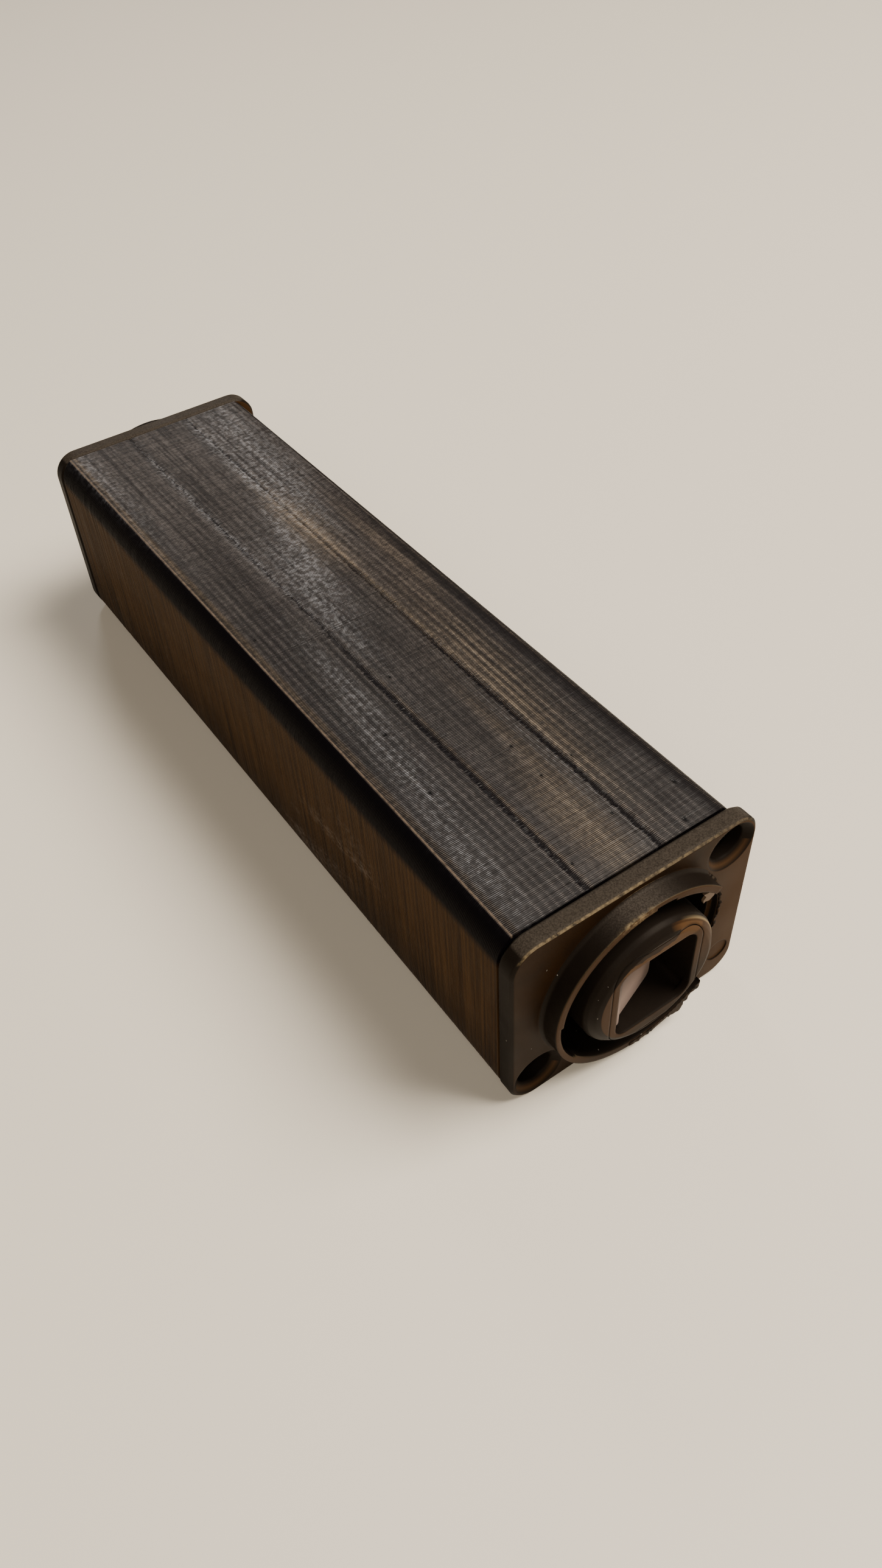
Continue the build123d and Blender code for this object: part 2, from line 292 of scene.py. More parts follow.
# %% [markdown]
# The last helpers lay one colour over another, make a bump, and give the place on the surface
# and a noise there. Both follow the object's own coordinates, so a finish keeps its place on a
# flap that swings.

# %% Helpers for colours, bumps and places


def mix_colors(tree, mask, first, second):
    """The first colour where the mask is 0 and the second where it is 1."""
    node = add(tree, "ShaderNodeMix", data_type="RGBA")
    tree.links.new(mask, node.inputs["Factor"])
    for socket, value in ((node.inputs[6], first), (node.inputs[7], second)):
        if isinstance(value, tuple):
            socket.default_value = value
        else:
            tree.links.new(value, socket)
    return node.outputs[2]


def bump(tree, height, depth_mm, normal=None):
    """A bump whose height of 1 stands for a depth in millimetres."""
    node = add(tree, "ShaderNodeBump")
    node.inputs["Strength"].default_value = 1.0
    node.inputs["Distance"].default_value = depth_mm * MM
    tree.links.new(height, node.inputs["Height"])
    if normal is not None:
        tree.links.new(normal, node.inputs["Normal"])
    return node.outputs["Normal"]


def millimetres(tree):
    """The place on the surface as a vector in the object's own millimetres."""
    coords = add(tree, "ShaderNodeTexCoord")
    vector = add(tree, "ShaderNodeVectorMath", operation="SCALE")
    vector.inputs["Scale"].default_value = 1 / MM
    tree.links.new(coords.outputs["Object"], vector.inputs[0])
    return vector.outputs[0]


def axes_of(tree, vector):
    """The three parts of a vector."""
    parts = add(tree, "ShaderNodeSeparateXYZ")
    tree.links.new(vector, parts.inputs[0])
    return parts.outputs["X"], parts.outputs["Y"], parts.outputs["Z"]


def noise_value(tree, scale, detail, stretch=(1, 1, 1)):
    """A noise in the object's coordinates, stretched along some axes."""
    coords = add(tree, "ShaderNodeTexCoord")
    mapping = add(tree, "ShaderNodeMapping")
    mapping.inputs["Scale"].default_value = stretch
    tree.links.new(coords.outputs["Object"], mapping.inputs["Vector"])
    node = add(tree, "ShaderNodeTexNoise")
    node.inputs["Scale"].default_value = scale
    node.inputs["Detail"].default_value = detail
    tree.links.new(mapping.outputs[0], node.inputs["Vector"])
    return node.outputs["Fac"]


def dress(name, material):
    """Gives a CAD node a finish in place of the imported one."""
    mesh = NODES[name].data
    mesh.materials.clear()
    mesh.materials.append(material)


# %% [markdown]
# Effects that several finishes share are node groups with named inputs, so that every material
# can use them with its own values. The first is grain: the fine texture that a mould or a nozzle
# leaves. It is a noise in the object's own millimetres.

# %% Shader group: grain
GRAIN, grain_in, grain_out = new_group(
    "grain",
    [("Size mm", "NodeSocketFloat", 0.2), ("Detail", "NodeSocketFloat", 3.0)],
    [("Height", "NodeSocketFloat")],
)
grain_coords = add(GRAIN, "ShaderNodeTexCoord")
grain_noise = add(GRAIN, "ShaderNodeTexNoise")
grain_scale = math_node(GRAIN, "DIVIDE", 1 / MM, grain_in.outputs["Size mm"])
GRAIN.links.new(grain_coords.outputs["Object"], grain_noise.inputs["Vector"])
GRAIN.links.new(grain_scale, grain_noise.inputs["Scale"])
GRAIN.links.new(grain_in.outputs["Detail"], grain_noise.inputs["Detail"])
GRAIN.links.new(grain_noise.outputs["Fac"], grain_out.inputs["Height"])
print("grain:", len(GRAIN.nodes), "nodes")

# %% [markdown]
# Edges are lighter than the faces beside them, partly from wear and partly as a painted
# highlight. The Bevel node gives the normal that a rounded edge would have, so where it differs
# from the true normal there is an edge. Edges that look up are lightest, a painted highlight of
# the light from above. Noise breaks the mask up, because wear is never even.

# %% Shader group: edge wear and painted highlight
BEVEL_SAMPLES = 6
WEAR_GAIN = 9.0
UPWARD_HIGHLIGHT_GAIN = 1.3
UPWARD_HIGHLIGHT_BASE = 0.12
WEAR_NOISE_SCALE = 1400.0
WEAR_NOISE_DETAIL = 5.0
WEAR_PATCH_GAIN = 6.0
EDGE_WEAR_AND_HIGHLIGHT, wear_in, wear_out = new_group(
    "edge_wear",
    [("Width mm", "NodeSocketFloat", 0.3), ("Patchiness", "NodeSocketFloat", 0.5)],
    [("Mask", "NodeSocketFloat")],
)
wear_width = math_node(EDGE_WEAR_AND_HIGHLIGHT, "MULTIPLY", wear_in.outputs["Width mm"], MM)
wear_bevel = add(EDGE_WEAR_AND_HIGHLIGHT, "ShaderNodeBevel", samples=BEVEL_SAMPLES)
EDGE_WEAR_AND_HIGHLIGHT.links.new(wear_width, wear_bevel.inputs["Radius"])
wear_geometry = add(EDGE_WEAR_AND_HIGHLIGHT, "ShaderNodeNewGeometry")
wear_dot = add(EDGE_WEAR_AND_HIGHLIGHT, "ShaderNodeVectorMath", operation="DOT_PRODUCT")
EDGE_WEAR_AND_HIGHLIGHT.links.new(wear_bevel.outputs["Normal"], wear_dot.inputs[0])
EDGE_WEAR_AND_HIGHLIGHT.links.new(wear_geometry.outputs["Normal"], wear_dot.inputs[1])
wear_edge = math_node(EDGE_WEAR_AND_HIGHLIGHT, "SUBTRACT", 1.0, wear_dot.outputs["Value"], clamp=True)
wear_strong = math_node(EDGE_WEAR_AND_HIGHLIGHT, "MULTIPLY", wear_edge, WEAR_GAIN, clamp=True)
_, _, wear_z = axes_of(EDGE_WEAR_AND_HIGHLIGHT, wear_bevel.outputs["Normal"])
# Painted highlight: edges that look up come out lighter.
wear_upward = math_node(EDGE_WEAR_AND_HIGHLIGHT, "MULTIPLY", wear_z, UPWARD_HIGHLIGHT_GAIN)
wear_upward = math_node(EDGE_WEAR_AND_HIGHLIGHT, "ADD", wear_upward, UPWARD_HIGHLIGHT_BASE, clamp=True)
wear_noise = noise_value(EDGE_WEAR_AND_HIGHLIGHT, WEAR_NOISE_SCALE, WEAR_NOISE_DETAIL)
wear_patch = math_node(EDGE_WEAR_AND_HIGHLIGHT, "SUBTRACT", wear_noise, wear_in.outputs["Patchiness"])
wear_patch = math_node(EDGE_WEAR_AND_HIGHLIGHT, "MULTIPLY", wear_patch, WEAR_PATCH_GAIN, clamp=True)
wear_mask = math_node(EDGE_WEAR_AND_HIGHLIGHT, "MULTIPLY", wear_strong, wear_patch)
wear_mask = math_node(EDGE_WEAR_AND_HIGHLIGHT, "MULTIPLY", wear_mask, wear_upward)
EDGE_WEAR_AND_HIGHLIGHT.links.new(wear_mask, wear_out.inputs["Mask"])
print("edge wear:", len(EDGE_WEAR_AND_HIGHLIGHT.nodes), "nodes")

# %% [markdown]
# The receptacles are moulded in black plastic. It looks different on each kind of face: its
# sides stay near black, its front faces get a painted warm brown reflection, the narrow faces
# that look up get a painted sheen with some dust, and the sloped rim of the flange gets a pale
# golden line, partly wear and partly a painted highlight. The zones group tells these faces
# apart by their normals, in the object's own axes.

# %% Shader group: zones
FRONT_LIMIT, FRONT_SOFTNESS = 0.95, 0.04
UPWARD_LIMIT, UPWARD_SOFTNESS = 0.30, 0.4
SLOPE_FACING, SLOPE_GAIN = 0.70, 3.5
ZONE_NAMES = ("Facing", "Front", "Upward", "Slope")
ZONES, _, zones_out = new_group("zones", [], [(label, "NodeSocketFloat") for label in ZONE_NAMES])
zone_coords = add(ZONES, "ShaderNodeTexCoord")
normal_x, _, normal_z = axes_of(ZONES, zone_coords.outputs["Normal"])
facing = math_node(ZONES, "ABSOLUTE", normal_x)
front = above(ZONES, facing, FRONT_LIMIT, FRONT_SOFTNESS)
upward = above(ZONES, normal_z, UPWARD_LIMIT, UPWARD_SOFTNESS)
off_slope = math_node(ZONES, "ABSOLUTE", math_node(ZONES, "SUBTRACT", facing, SLOPE_FACING))
off_slope = math_node(ZONES, "MULTIPLY", off_slope, SLOPE_GAIN)
slope = math_node(ZONES, "SUBTRACT", 1.0, off_slope, clamp=True)
for label, value in zip(ZONE_NAMES, (facing, front, upward, slope)):
    ZONES.links.new(value, zones_out.inputs[label])
print("zones:", ", ".join(ZONE_NAMES))

# %% [markdown]
# The patch group makes a soft spot with a middle and half sizes in millimetres. It serves where
# one place is rubbed, dusty or shiny.

# %% Shader group: patch
PATCH, patch_in, patch_out = new_group(
    "patch",
    [("Middle", "NodeSocketVector", None), ("Half Sizes", "NodeSocketVector", None)],
    [("Mask", "NodeSocketFloat")],
)
patch_away = add(PATCH, "ShaderNodeVectorMath", operation="SUBTRACT")
PATCH.links.new(millimetres(PATCH), patch_away.inputs[0])
PATCH.links.new(patch_in.outputs["Middle"], patch_away.inputs[1])
patch_share = add(PATCH, "ShaderNodeVectorMath", operation="DIVIDE")
PATCH.links.new(patch_away.outputs[0], patch_share.inputs[0])
PATCH.links.new(patch_in.outputs["Half Sizes"], patch_share.inputs[1])
patch_length = add(PATCH, "ShaderNodeVectorMath", operation="LENGTH")
PATCH.links.new(patch_share.outputs[0], patch_length.inputs[0])
patch_fall = math_node(PATCH, "POWER", patch_length.outputs["Value"], 2.0)
patch_fall = math_node(PATCH, "EXPONENT", math_node(PATCH, "MULTIPLY", patch_fall, -1.0))
PATCH.links.new(patch_fall, patch_out.inputs["Mask"])
print("patch:", len(PATCH.nodes), "nodes")

# %% [markdown]
# Now the plastic itself. Each function below lays one more colour over the last. The first one
# gathers what they all read: the place in millimetres, the zones, the edge wear with its painted
# highlight and two textures.
# Out is the distance from the middle of the coupler along its axis. The pairs that go into
# above are a limit and a softness, in millimetres where they stand for a place.

# %% Moulded black plastic: what its masks are made of
FLANGE_FACE_MM = 53.85
GRIT_RISE, GRIT_BASE = (0.30, 0.50), 0.35
BROKEN_NOISE, BROKEN_RISE = (2200.0, 5.0), (0.32, 0.30)


def surface(tree):
    """The place, the zones and the textures of a point of the receptacle, by name."""
    zones = place_group(tree, ZONES)
    at = {label: zones.outputs[label] for label in ZONE_NAMES}
    x, at["y"], at["z"] = axes_of(tree, millimetres(tree))
    at["out"] = math_node(tree, "ABSOLUTE", x)
    at["up"] = math_node(tree, "SUBTRACT", at["z"], AXIS_MM)
    at["radius"] = distance(tree, at["y"], at["up"])
    # Edge wear, with a painted highlight on the edges that look up.
    at["wear"] = place_group(tree, EDGE_WEAR_AND_HIGHLIGHT, Width_mm=0.22, Patchiness=0.25).outputs["Mask"]
    speckles = place_group(tree, GRAIN, Size_mm=0.16, Detail=2.0).outputs["Height"]
    at["grit"] = scaled(tree, above(tree, speckles, *GRIT_RISE), 1.0, GRIT_BASE)
    at["broken"] = above(tree, noise_value(tree, *BROKEN_NOISE), *BROKEN_RISE)
    return at


print("the flange's face is", FLANGE_FACE_MM, "mm from the middle")

# %% [markdown]
# The rims are lit at the upper left and stay dark at the lower right. On the core's own face
# the light ends in a ragged line a little above the opening.

# %% Moulded black plastic: where the rims are lit
LEAN = 0.55
LIT_UPPER_LEFT = (7.5, 4.0)
LIT_GAIN, LIT_BASE = 0.92, 0.08
RAGGED_NOISE, RAGGED_MM = (1300.0, 3.0), 0.9
LIP_TOP_MM, LIP_SOFTNESS_MM = 18.95, 0.08
LIP_RAISED, LIP_RISE_MM = (1.8, 1.2), 1.6
OUT_LIP_FACE = (FLANGE_FACE_MM + 3.3, 0.05)


def lit_share(tree, at):
    """How much light the rims get: more at the upper left, none above the ragged line."""
    leaning = math_node(tree, "SUBTRACT", at["z"], math_node(tree, "MULTIPLY", at["y"], LEAN))
    lit = scaled(tree, above(tree, leaning, *LIT_UPPER_LEFT), LIT_GAIN, LIT_BASE)
    ragged = centred(tree, noise_value(tree, *RAGGED_NOISE))
    lip_top = scaled(tree, above(tree, at["y"], *LIP_RAISED), LIP_RISE_MM, LIP_TOP_MM)
    lip_top = math_node(tree, "ADD", lip_top, math_node(tree, "MULTIPLY", ragged, RAGGED_MM))
    over_lip = above(tree, at["z"], lip_top, LIP_SOFTNESS_MM)
    over_lip = math_node(tree, "MULTIPLY", over_lip, above(tree, at["out"], *OUT_LIP_FACE))
    return math_node(tree, "SUBTRACT", lit, over_lip, clamp=True)


print("the lit lip ends", LIP_TOP_MM, "mm up, and", LIP_RISE_MM, "mm higher on the right")

# %% [markdown]
# The sides are near black. Faces that look forwards get a painted warm brown reflection: the
# flange, more on its right, then, as painted light, the rims of the collar and the core, and most
# of all the lip above the opening.

# %% Moulded black plastic: brown fronts of painted reflection
SIDE_BLACK = (0.0045, 0.0032, 0.0024, 1.0)
SIDE_BROWN = (0.0090, 0.0060, 0.0040, 1.0)
# Browns of painted reflection and painted light, for faces that look forwards.
FRONT_PAINTED_REFLECTION = (0.0150, 0.0068, 0.0024, 1.0)
SUNNY_BROWN = (0.0360, 0.0160, 0.0050, 1.0)
RIM_PAINTED_LIGHT = (0.0320, 0.0142, 0.0048, 1.0)
LIP_PAINTED_LIGHT = (0.0620, 0.0290, 0.0105, 1.0)
TONE_NOISE, TONE_GAIN, TONE_RISE = (220.0, 6.0), 1.3, (0.1, 0.6)
SUNNY_RIGHT = (7.0, 7.0)
CORE_HIGHLIGHT_RADIUS_MM = 8.15
CORE_RIGHT, CORE_FACING = (1.5, 1.5), (0.3, 0.1)
OUT_BEYOND_FLANGE = (FLANGE_FACE_MM + 2.0, 0.1)
OUT_CORE = (FLANGE_FACE_MM + 2.5, 0.1)
OUT_LIP, UP_LIP = (FLANGE_FACE_MM + 2.9, 0.1), (18.0, 0.3)


def brown_fronts(tree, at, lit):
    """Black sides, and faces that look forwards with a painted brown reflection and painted light.
    """
    tone = math_node(tree, "MULTIPLY", noise_value(tree, *TONE_NOISE), TONE_GAIN, clamp=True)
    color = mix_colors(tree, tone, SIDE_BLACK, SIDE_BROWN)
    # Painted reflection: faces that look forwards turn warm brown, more on the right.
    toned = product(tree, at["Front"], above(tree, tone, *TONE_RISE))
    color = mix_colors(tree, toned, color, FRONT_PAINTED_REFLECTION)
    sunny = product(tree, at["Front"], above(tree, at["y"], *SUNNY_RIGHT))
    color = mix_colors(tree, sunny, color, SUNNY_BROWN)
    inside_line = math_node(tree, "LESS_THAN", at["radius"], CORE_HIGHLIGHT_RADIUS_MM)
    on_core, right = above(tree, at["out"], *OUT_CORE), above(tree, at["y"], *CORE_RIGHT)
    facing_share = above(tree, at["Facing"], *CORE_FACING)
    core_right = product(tree, on_core, inside_line, right, facing_share)
    forward = math_node(tree, "ADD", at["Front"], core_right, clamp=True)
    # Painted light on the rims of the collar and the core, and most on the lip.
    rims = product(tree, forward, above(tree, at["out"], *OUT_BEYOND_FLANGE), lit)
    color = mix_colors(tree, rims, color, RIM_PAINTED_LIGHT)
    high = above(tree, at["z"], *UP_LIP)
    lip = product(tree, forward, above(tree, at["out"], *OUT_LIP), high, lit)
    return mix_colors(tree, lip, color, LIP_PAINTED_LIGHT)


print("browns from", SIDE_BROWN[0], "on the sides to", LIP_PAINTED_LIGHT[0], "on the lip")

# %% [markdown]
# The flange's top is paler, a painted sheen speckled with grit. Its front edge is golden there,
# partly worn and partly a painted highlight, most on the left. A few specks of dust lie everywhere.

# %% Moulded black plastic: dust, painted sheen and gold on the flange
# Painted sheen for the top, and gold that is partly wear and partly a painted highlight.
TOP_SHEEN_AND_DUST = (0.0390, 0.0300, 0.0215, 1.0)
GOLD_WEAR_AND_HIGHLIGHT = (0.34, 0.24, 0.12, 1.0)
DUST, DUST_LIMIT = (0.22, 0.20, 0.17, 1.0), 0.82
FLANGE_END_MM = FLANGE_FACE_MM + 0.02
UP_FLANGE_TOP, UP_TOP_EDGE = (25.3, 0.2), (24.6, 0.5)
OUT_FLANGE_EDGE = (FLANGE_FACE_MM - 0.24, 0.08)
GOLD_FADES, GOLD_LOSS, EDGE_GOLD = (0.0, 12.0), 0.6, 0.35


def flange_marks(tree, at, color):
    """A top with painted sheen, a golden front edge of wear and painted highlight, and dust specks
    all over.
    """
    on_flange = math_node(tree, "LESS_THAN", at["out"], FLANGE_END_MM)
    high = above(tree, at["z"], *UP_FLANGE_TOP)
    # Painted sheen on the top, speckled with grit.
    dust_and_sheen = product(tree, at["Upward"], on_flange, high, at["grit"])
    color = mix_colors(tree, dust_and_sheen, color, TOP_SHEEN_AND_DUST)
    top_edge = above(tree, at["z"], *UP_TOP_EDGE)
    front_edge = above(tree, at["out"], *OUT_FLANGE_EDGE)
    loss = math_node(tree, "MULTIPLY", above(tree, at["y"], *GOLD_FADES), GOLD_LOSS)
    kept = inverted(tree, loss)
    # Worn golden edge with a painted highlight, weaker to the right.
    gold = product(tree, at["Slope"], top_edge, on_flange, front_edge, at["broken"], kept)
    color = mix_colors(tree, math_node(tree, "MULTIPLY", gold, EDGE_GOLD), color, GOLD_WEAR_AND_HIGHLIGHT)
    dust = place_group(tree, GRAIN, Size_mm=0.55, Detail=1.0).outputs["Height"]
    return mix_colors(tree, math_node(tree, "GREATER_THAN", dust, DUST_LIMIT), color, DUST)


print("the golden edge starts", UP_TOP_EDGE[0], "mm up")

# %% [markdown]
# The collar's top has a painted highlight in one patch, and its rim is worn and lit, with one
# painted glint near the middle. A thin pale line, a painted highlight, runs round the right of
# the core, just inside its rounded rim.

# %% Moulded black plastic: painted highlights and wear on the collar and the core
# Colours and places of the painted highlights on the collar and the core.
PAINTED_COLLAR_HIGHLIGHT = (0.046, 0.036, 0.027, 1.0)
COLLAR_HIGHLIGHT_PATCH = {"Middle": (FLANGE_FACE_MM + 1.2, -1.4, 24.7), "Half_Sizes": (3.0, 3.8, 1.6)}
RIM_GLINT_PATCH = {"Middle": (FLANGE_FACE_MM + 2.25, -2.6, 24.4), "Half_Sizes": (0.20, 1.9, 0.8)}
OUT_ABOVE_FLANGE = (FLANGE_FACE_MM, 0.2)
COLLAR_EDGE, COLLAR_INSIDE, COLLAR_GOLD = (FLANGE_FACE_MM + 2.2, 0.25), (10.0, 0.3), 0.22
RIM_GLINT_SHARE = 0.6
CORE_LINE_REACH_MM, LINE_GOLD = 0.14, 0.45
OUT_CORE_LINE, LINE_RIGHT = (FLANGE_FACE_MM + 2.4, 0.1), (3.0, 3.0)


def collar_marks(tree, at, color, lit):
    """A painted highlight and worn, lit edges on the collar, and a painted highlight line round the
    core.
    """
    # Painted highlight on the collar's top, grainy.
    highlight_spot = place_group(tree, PATCH, **COLLAR_HIGHLIGHT_PATCH).outputs["Mask"]
    lit_spot = product(tree, highlight_spot, at["Upward"], at["grit"])
    past_flange = above(tree, at["out"], *OUT_ABOVE_FLANGE)
    color = mix_colors(tree, math_node(tree, "MULTIPLY", lit_spot, past_flange), color, PAINTED_COLLAR_HIGHLIGHT)
    on_edge = near_value(tree, at["out"], *COLLAR_EDGE)
    on_collar = product(tree, on_edge, above(tree, at["radius"], *COLLAR_INSIDE))
    # Worn rim, gold only where the painted light share allows.
    worn_and_lit = product(tree, at["wear"], on_collar, lit)
    color = mix_colors(tree, math_node(tree, "MULTIPLY", worn_and_lit, COLLAR_GOLD), color, GOLD_WEAR_AND_HIGHLIGHT)
    # A painted glint on the rim.
    rim_glint = place_group(tree, PATCH, **RIM_GLINT_PATCH).outputs["Mask"]
    rim_glint = product(tree, rim_glint, at["broken"], at["broken"])
    color = mix_colors(tree, math_node(tree, "MULTIPLY", rim_glint, RIM_GLINT_SHARE), color, GOLD_WEAR_AND_HIGHLIGHT)
    # A painted highlight line round the core.
    core_highlight = near_value(tree, at["radius"], CORE_HIGHLIGHT_RADIUS_MM, CORE_LINE_REACH_MM)
    on_core, right = above(tree, at["out"], *OUT_CORE_LINE), above(tree, at["y"], *LINE_RIGHT)
    core_highlight = math_node(tree, "MULTIPLY", product(tree, core_highlight, on_core, right), LINE_GOLD)
    return mix_colors(tree, core_highlight, color, GOLD_WEAR_AND_HIGHLIGHT)


print("the pale line has a radius of", CORE_HIGHLIGHT_RADIUS_MM, "mm")

# %% [markdown]
# Each screw hole is countersunk, and the lower part of its cone catches the light. The two
# holes lie on a diagonal, so one formula with the sign of y finds them both.

# %% Moulded black plastic: screw holes
HOLE_ACROSS_MM, HOLE_UP_MM = 12.0, 9.5
HOLE_RIM_MM, HOLE_REACH_MM, HOLE_LOW_MM = 2.7, 0.35, 0.8
HOLE_SHARE = 0.6
OUT_IN_HOLE, HOLE_END_MM = (FLANGE_FACE_MM - 1.0, 0.2), FLANGE_FACE_MM + 0.1


def hole_rims(tree, at, color):
    """The lower part of each countersink, which catches the light."""
    side = math_node(tree, "SIGN", at["y"])
    turned = math_node(tree, "MULTIPLY", side, at["up"])
    across = math_node(tree, "SUBTRACT", math_node(tree, "ABSOLUTE", at["y"]), HOLE_ACROSS_MM)
    up = math_node(tree, "SUBTRACT", turned, HOLE_UP_MM)
    rim = near_value(tree, distance(tree, across, up), HOLE_RIM_MM, HOLE_REACH_MM)
    from_low = scaled(tree, math_node(tree, "MULTIPLY", up, side), 1.0, HOLE_LOW_MM)
    lower = math_node(tree, "LESS_THAN", from_low, 0.0)
    in_hole = above(tree, at["out"], *OUT_IN_HOLE)
    on_flange = math_node(tree, "LESS_THAN", at["out"], HOLE_END_MM)
    lit_rim = product(tree, rim, lower, in_hole, on_flange)
    return mix_colors(tree, math_node(tree, "MULTIPLY", lit_rim, HOLE_SHARE), color, LIP_PAINTED_LIGHT)


print("screw holes", 2 * HOLE_ACROSS_MM, "by", 2 * HOLE_UP_MM, "mm apart")

# %% [markdown]
# The material puts these steps together. Moulded edges are never sharp, and a Bevel node rounds
# them in the shading alone, which costs no faces. Pieces that lie inside get no dust, no wear and
# none of the painted sheen and highlights of the flange and the collar.

# %% Moulded black plastic: the material
SMUDGE_NOISE, SMUDGE_SHARE = (160.0, 4.0), (0.30, 0.34)
MOULDED_SPECULAR = 0.05
MOULDED_TINT = (1.0, 0.86, 0.70, 1.0)
ROUNDING_MM = 0.35
MOULD_GRAIN_MM = 0.010


def moulded_black(name, dust_and_sheen):
    """The receptacles' plastic. Pieces that lie inside get no dust, no wear and none of the painted
    sheen and highlights of the flange and the collar.
    """
    material, tree, shader = new_material(name)
    at = surface(tree)
    lit = lit_share(tree, at)
    color = brown_fronts(tree, at, lit)
    if dust_and_sheen:
        color = flange_marks(tree, at, color)
        color = collar_marks(tree, at, color, lit)
        color = hole_rims(tree, at, color)
    tree.links.new(color, shader.inputs["Base Color"])
    rough = scaled(tree, noise_value(tree, *SMUDGE_NOISE), *SMUDGE_SHARE)
    tree.links.new(rough, shader.inputs["Roughness"])
    shader.inputs["Specular IOR Level"].default_value = MOULDED_SPECULAR
    shader.inputs["Specular Tint"].default_value = MOULDED_TINT
    rounded = add(tree, "ShaderNodeBevel", samples=BEVEL_SAMPLES)
    rounded.inputs["Radius"].default_value = ROUNDING_MM * MM
    grain = place_group(tree, GRAIN, Size_mm=0.10, Detail=3.0).outputs["Height"]
    normal = bump(tree, grain, MOULD_GRAIN_MM, rounded.outputs["Normal"])
    tree.links.new(normal, shader.inputs["Normal"])
    print(name, "with", len(tree.nodes), "nodes")
    return material


MOULDED = moulded_black("moulded_black", True)
MOULDED_INNER = moulded_black("moulded_black_inner", False)
for end in ("near", "far"):
    dress(f"{end}_receptacle", MOULDED)
    dress(f"{end}_adapter_frame", MOULDED)
    dress(f"{end}_adapter_retainer", MOULDED_INNER)

# %% [markdown]
# The flap is pale and smooth, and darker towards its top: a painted shade, where the opening
# shades it. The pieces behind it hardly show, so they have plain finishes: blue plastic, white
# ceramic, pale rubber, a yellow jacket and drawn steel.

# %% Pale flap
# The flap's pale colour and its painted shade.
FLAP_LIGHT = (0.25, 0.18, 0.145, 1.0)
FLAP_PAINTED_SHADE = (0.040, 0.027, 0.022, 1.0)
FLAP_SHADE_RISE = (10.5, 4.5)
FLAP_ROUGHNESS, FLAP_SPECULAR = 0.5, 0.2
SHUTTER, flap_tree, flap_shader = new_material("pale_flap")
_, _, flap_height = axes_of(flap_tree, millimetres(flap_tree))
# Painted shade, darker towards the top.
flap_shade = above(flap_tree, flap_height, *FLAP_SHADE_RISE)
flap_color = mix_colors(flap_tree, flap_shade, FLAP_LIGHT, FLAP_PAINTED_SHADE)
flap_tree.links.new(flap_color, flap_shader.inputs["Base Color"])
flap_shader.inputs["Roughness"].default_value = FLAP_ROUGHNESS
flap_shader.inputs["Specular IOR Level"].default_value = FLAP_SPECULAR
print("flap:", SHUTTER.name)

# %% Plain plastics and ceramic
UNEVEN_NOISE = (350.0, 4.0)


def plain_plastic(name, color, roughness, depth_mm=0.006, spread=0.25):
    """A smooth moulded finish with a little grain and an uneven tone."""
    material, tree, shader = new_material(name)
    darker = tuple(c * (1 - spread) for c in color[:3]) + (1.0,)
    tone = noise_value(tree, *UNEVEN_NOISE)
    tree.links.new(mix_colors(tree, tone, darker, color), shader.inputs["Base Color"])
    shader.inputs["Roughness"].default_value = roughness
    grain = place_group(tree, GRAIN, Size_mm=0.15, Detail=3.0)
    tree.links.new(bump(tree, grain.outputs["Height"], depth_mm), shader.inputs["Normal"])
    return material


TORN = plain_plastic("torn_plastic", (0.120, 0.070, 0.034, 1.0), 0.7, depth_mm=0.03)
BLUE = plain_plastic("blue_plastic", (0.03, 0.10, 0.32, 1.0), 0.4)
BOOT = plain_plastic("white_rubber", (0.75, 0.74, 0.70, 1.0), 0.7)
JACKET = plain_plastic("yellow_jacket", (0.75, 0.50, 0.05, 1.0), 0.45)
CERAMIC = plain_plastic("white_ceramic", (0.85, 0.84, 0.80, 1.0), 0.15, spread=0.05)
print("plain finishes:", [m.name for m in (TORN, BLUE, BOOT, JACKET, CERAMIC)])

# %% Drawn steel
STEEL_COLOR = (0.55, 0.55, 0.55, 1.0)
STEEL_NOISE, STEEL_SHARE = (3000.0, 2.0, (1, 1, 0.05)), (0.3, 0.15)
STEEL, steel_tree, steel_shader = new_material("drawn_steel")
steel_shader.inputs["Base Color"].default_value = STEEL_COLOR
steel_shader.inputs["Metallic"].default_value = 1.0
steel_rough = scaled(steel_tree, noise_value(steel_tree, *STEEL_NOISE), *STEEL_SHARE)
steel_tree.links.new(steel_rough, steel_shader.inputs["Roughness"])
print("steel:", STEEL.name)

# %% Finishes of the pieces inside
INSIDE = {
    "shutter": SHUTTER,
    "shutter_pin": STEEL,
    "fibre_adapter": BLUE,
    "alignment_sleeves": CERAMIC,
    "duplex_clip": BLUE,
}
IN_EACH_ROW = {"plug": BLUE, "ferrule": CERAMIC, "boot": BOOT}
for end in ("near", "far"):
    for piece, material in INSIDE.items():
        dress(f"{end}_{piece}", material)
    for row in ("lower", "upper"):
        for piece, material in IN_EACH_ROW.items():
            dress(f"{end}_{row}_{piece}", material)
for row in ("lower", "upper"):
    dress(f"{row}_fibre_lead", JACKET)
print("kinds of pieces inside:", len(INSIDE) + len(IN_EACH_ROW) + 1)

# %% [markdown]
# The printed sleeve is what shows most. A printer lays a thread of plastic 0.2 mm high round
# and round, so its outside is a stack of fine beads across its length. They could be a bump in
# the material, but their shine spreads along the sleeve as it does only on a real ridge, so the
# outside is built again here as rings of points: one ring on the crest of each layer and one in
# the valley between two layers. The rings are marked sharp, so that each slope keeps its own
# shade. The section is the model's own: flats, and corner arcs that end in a visible edge.

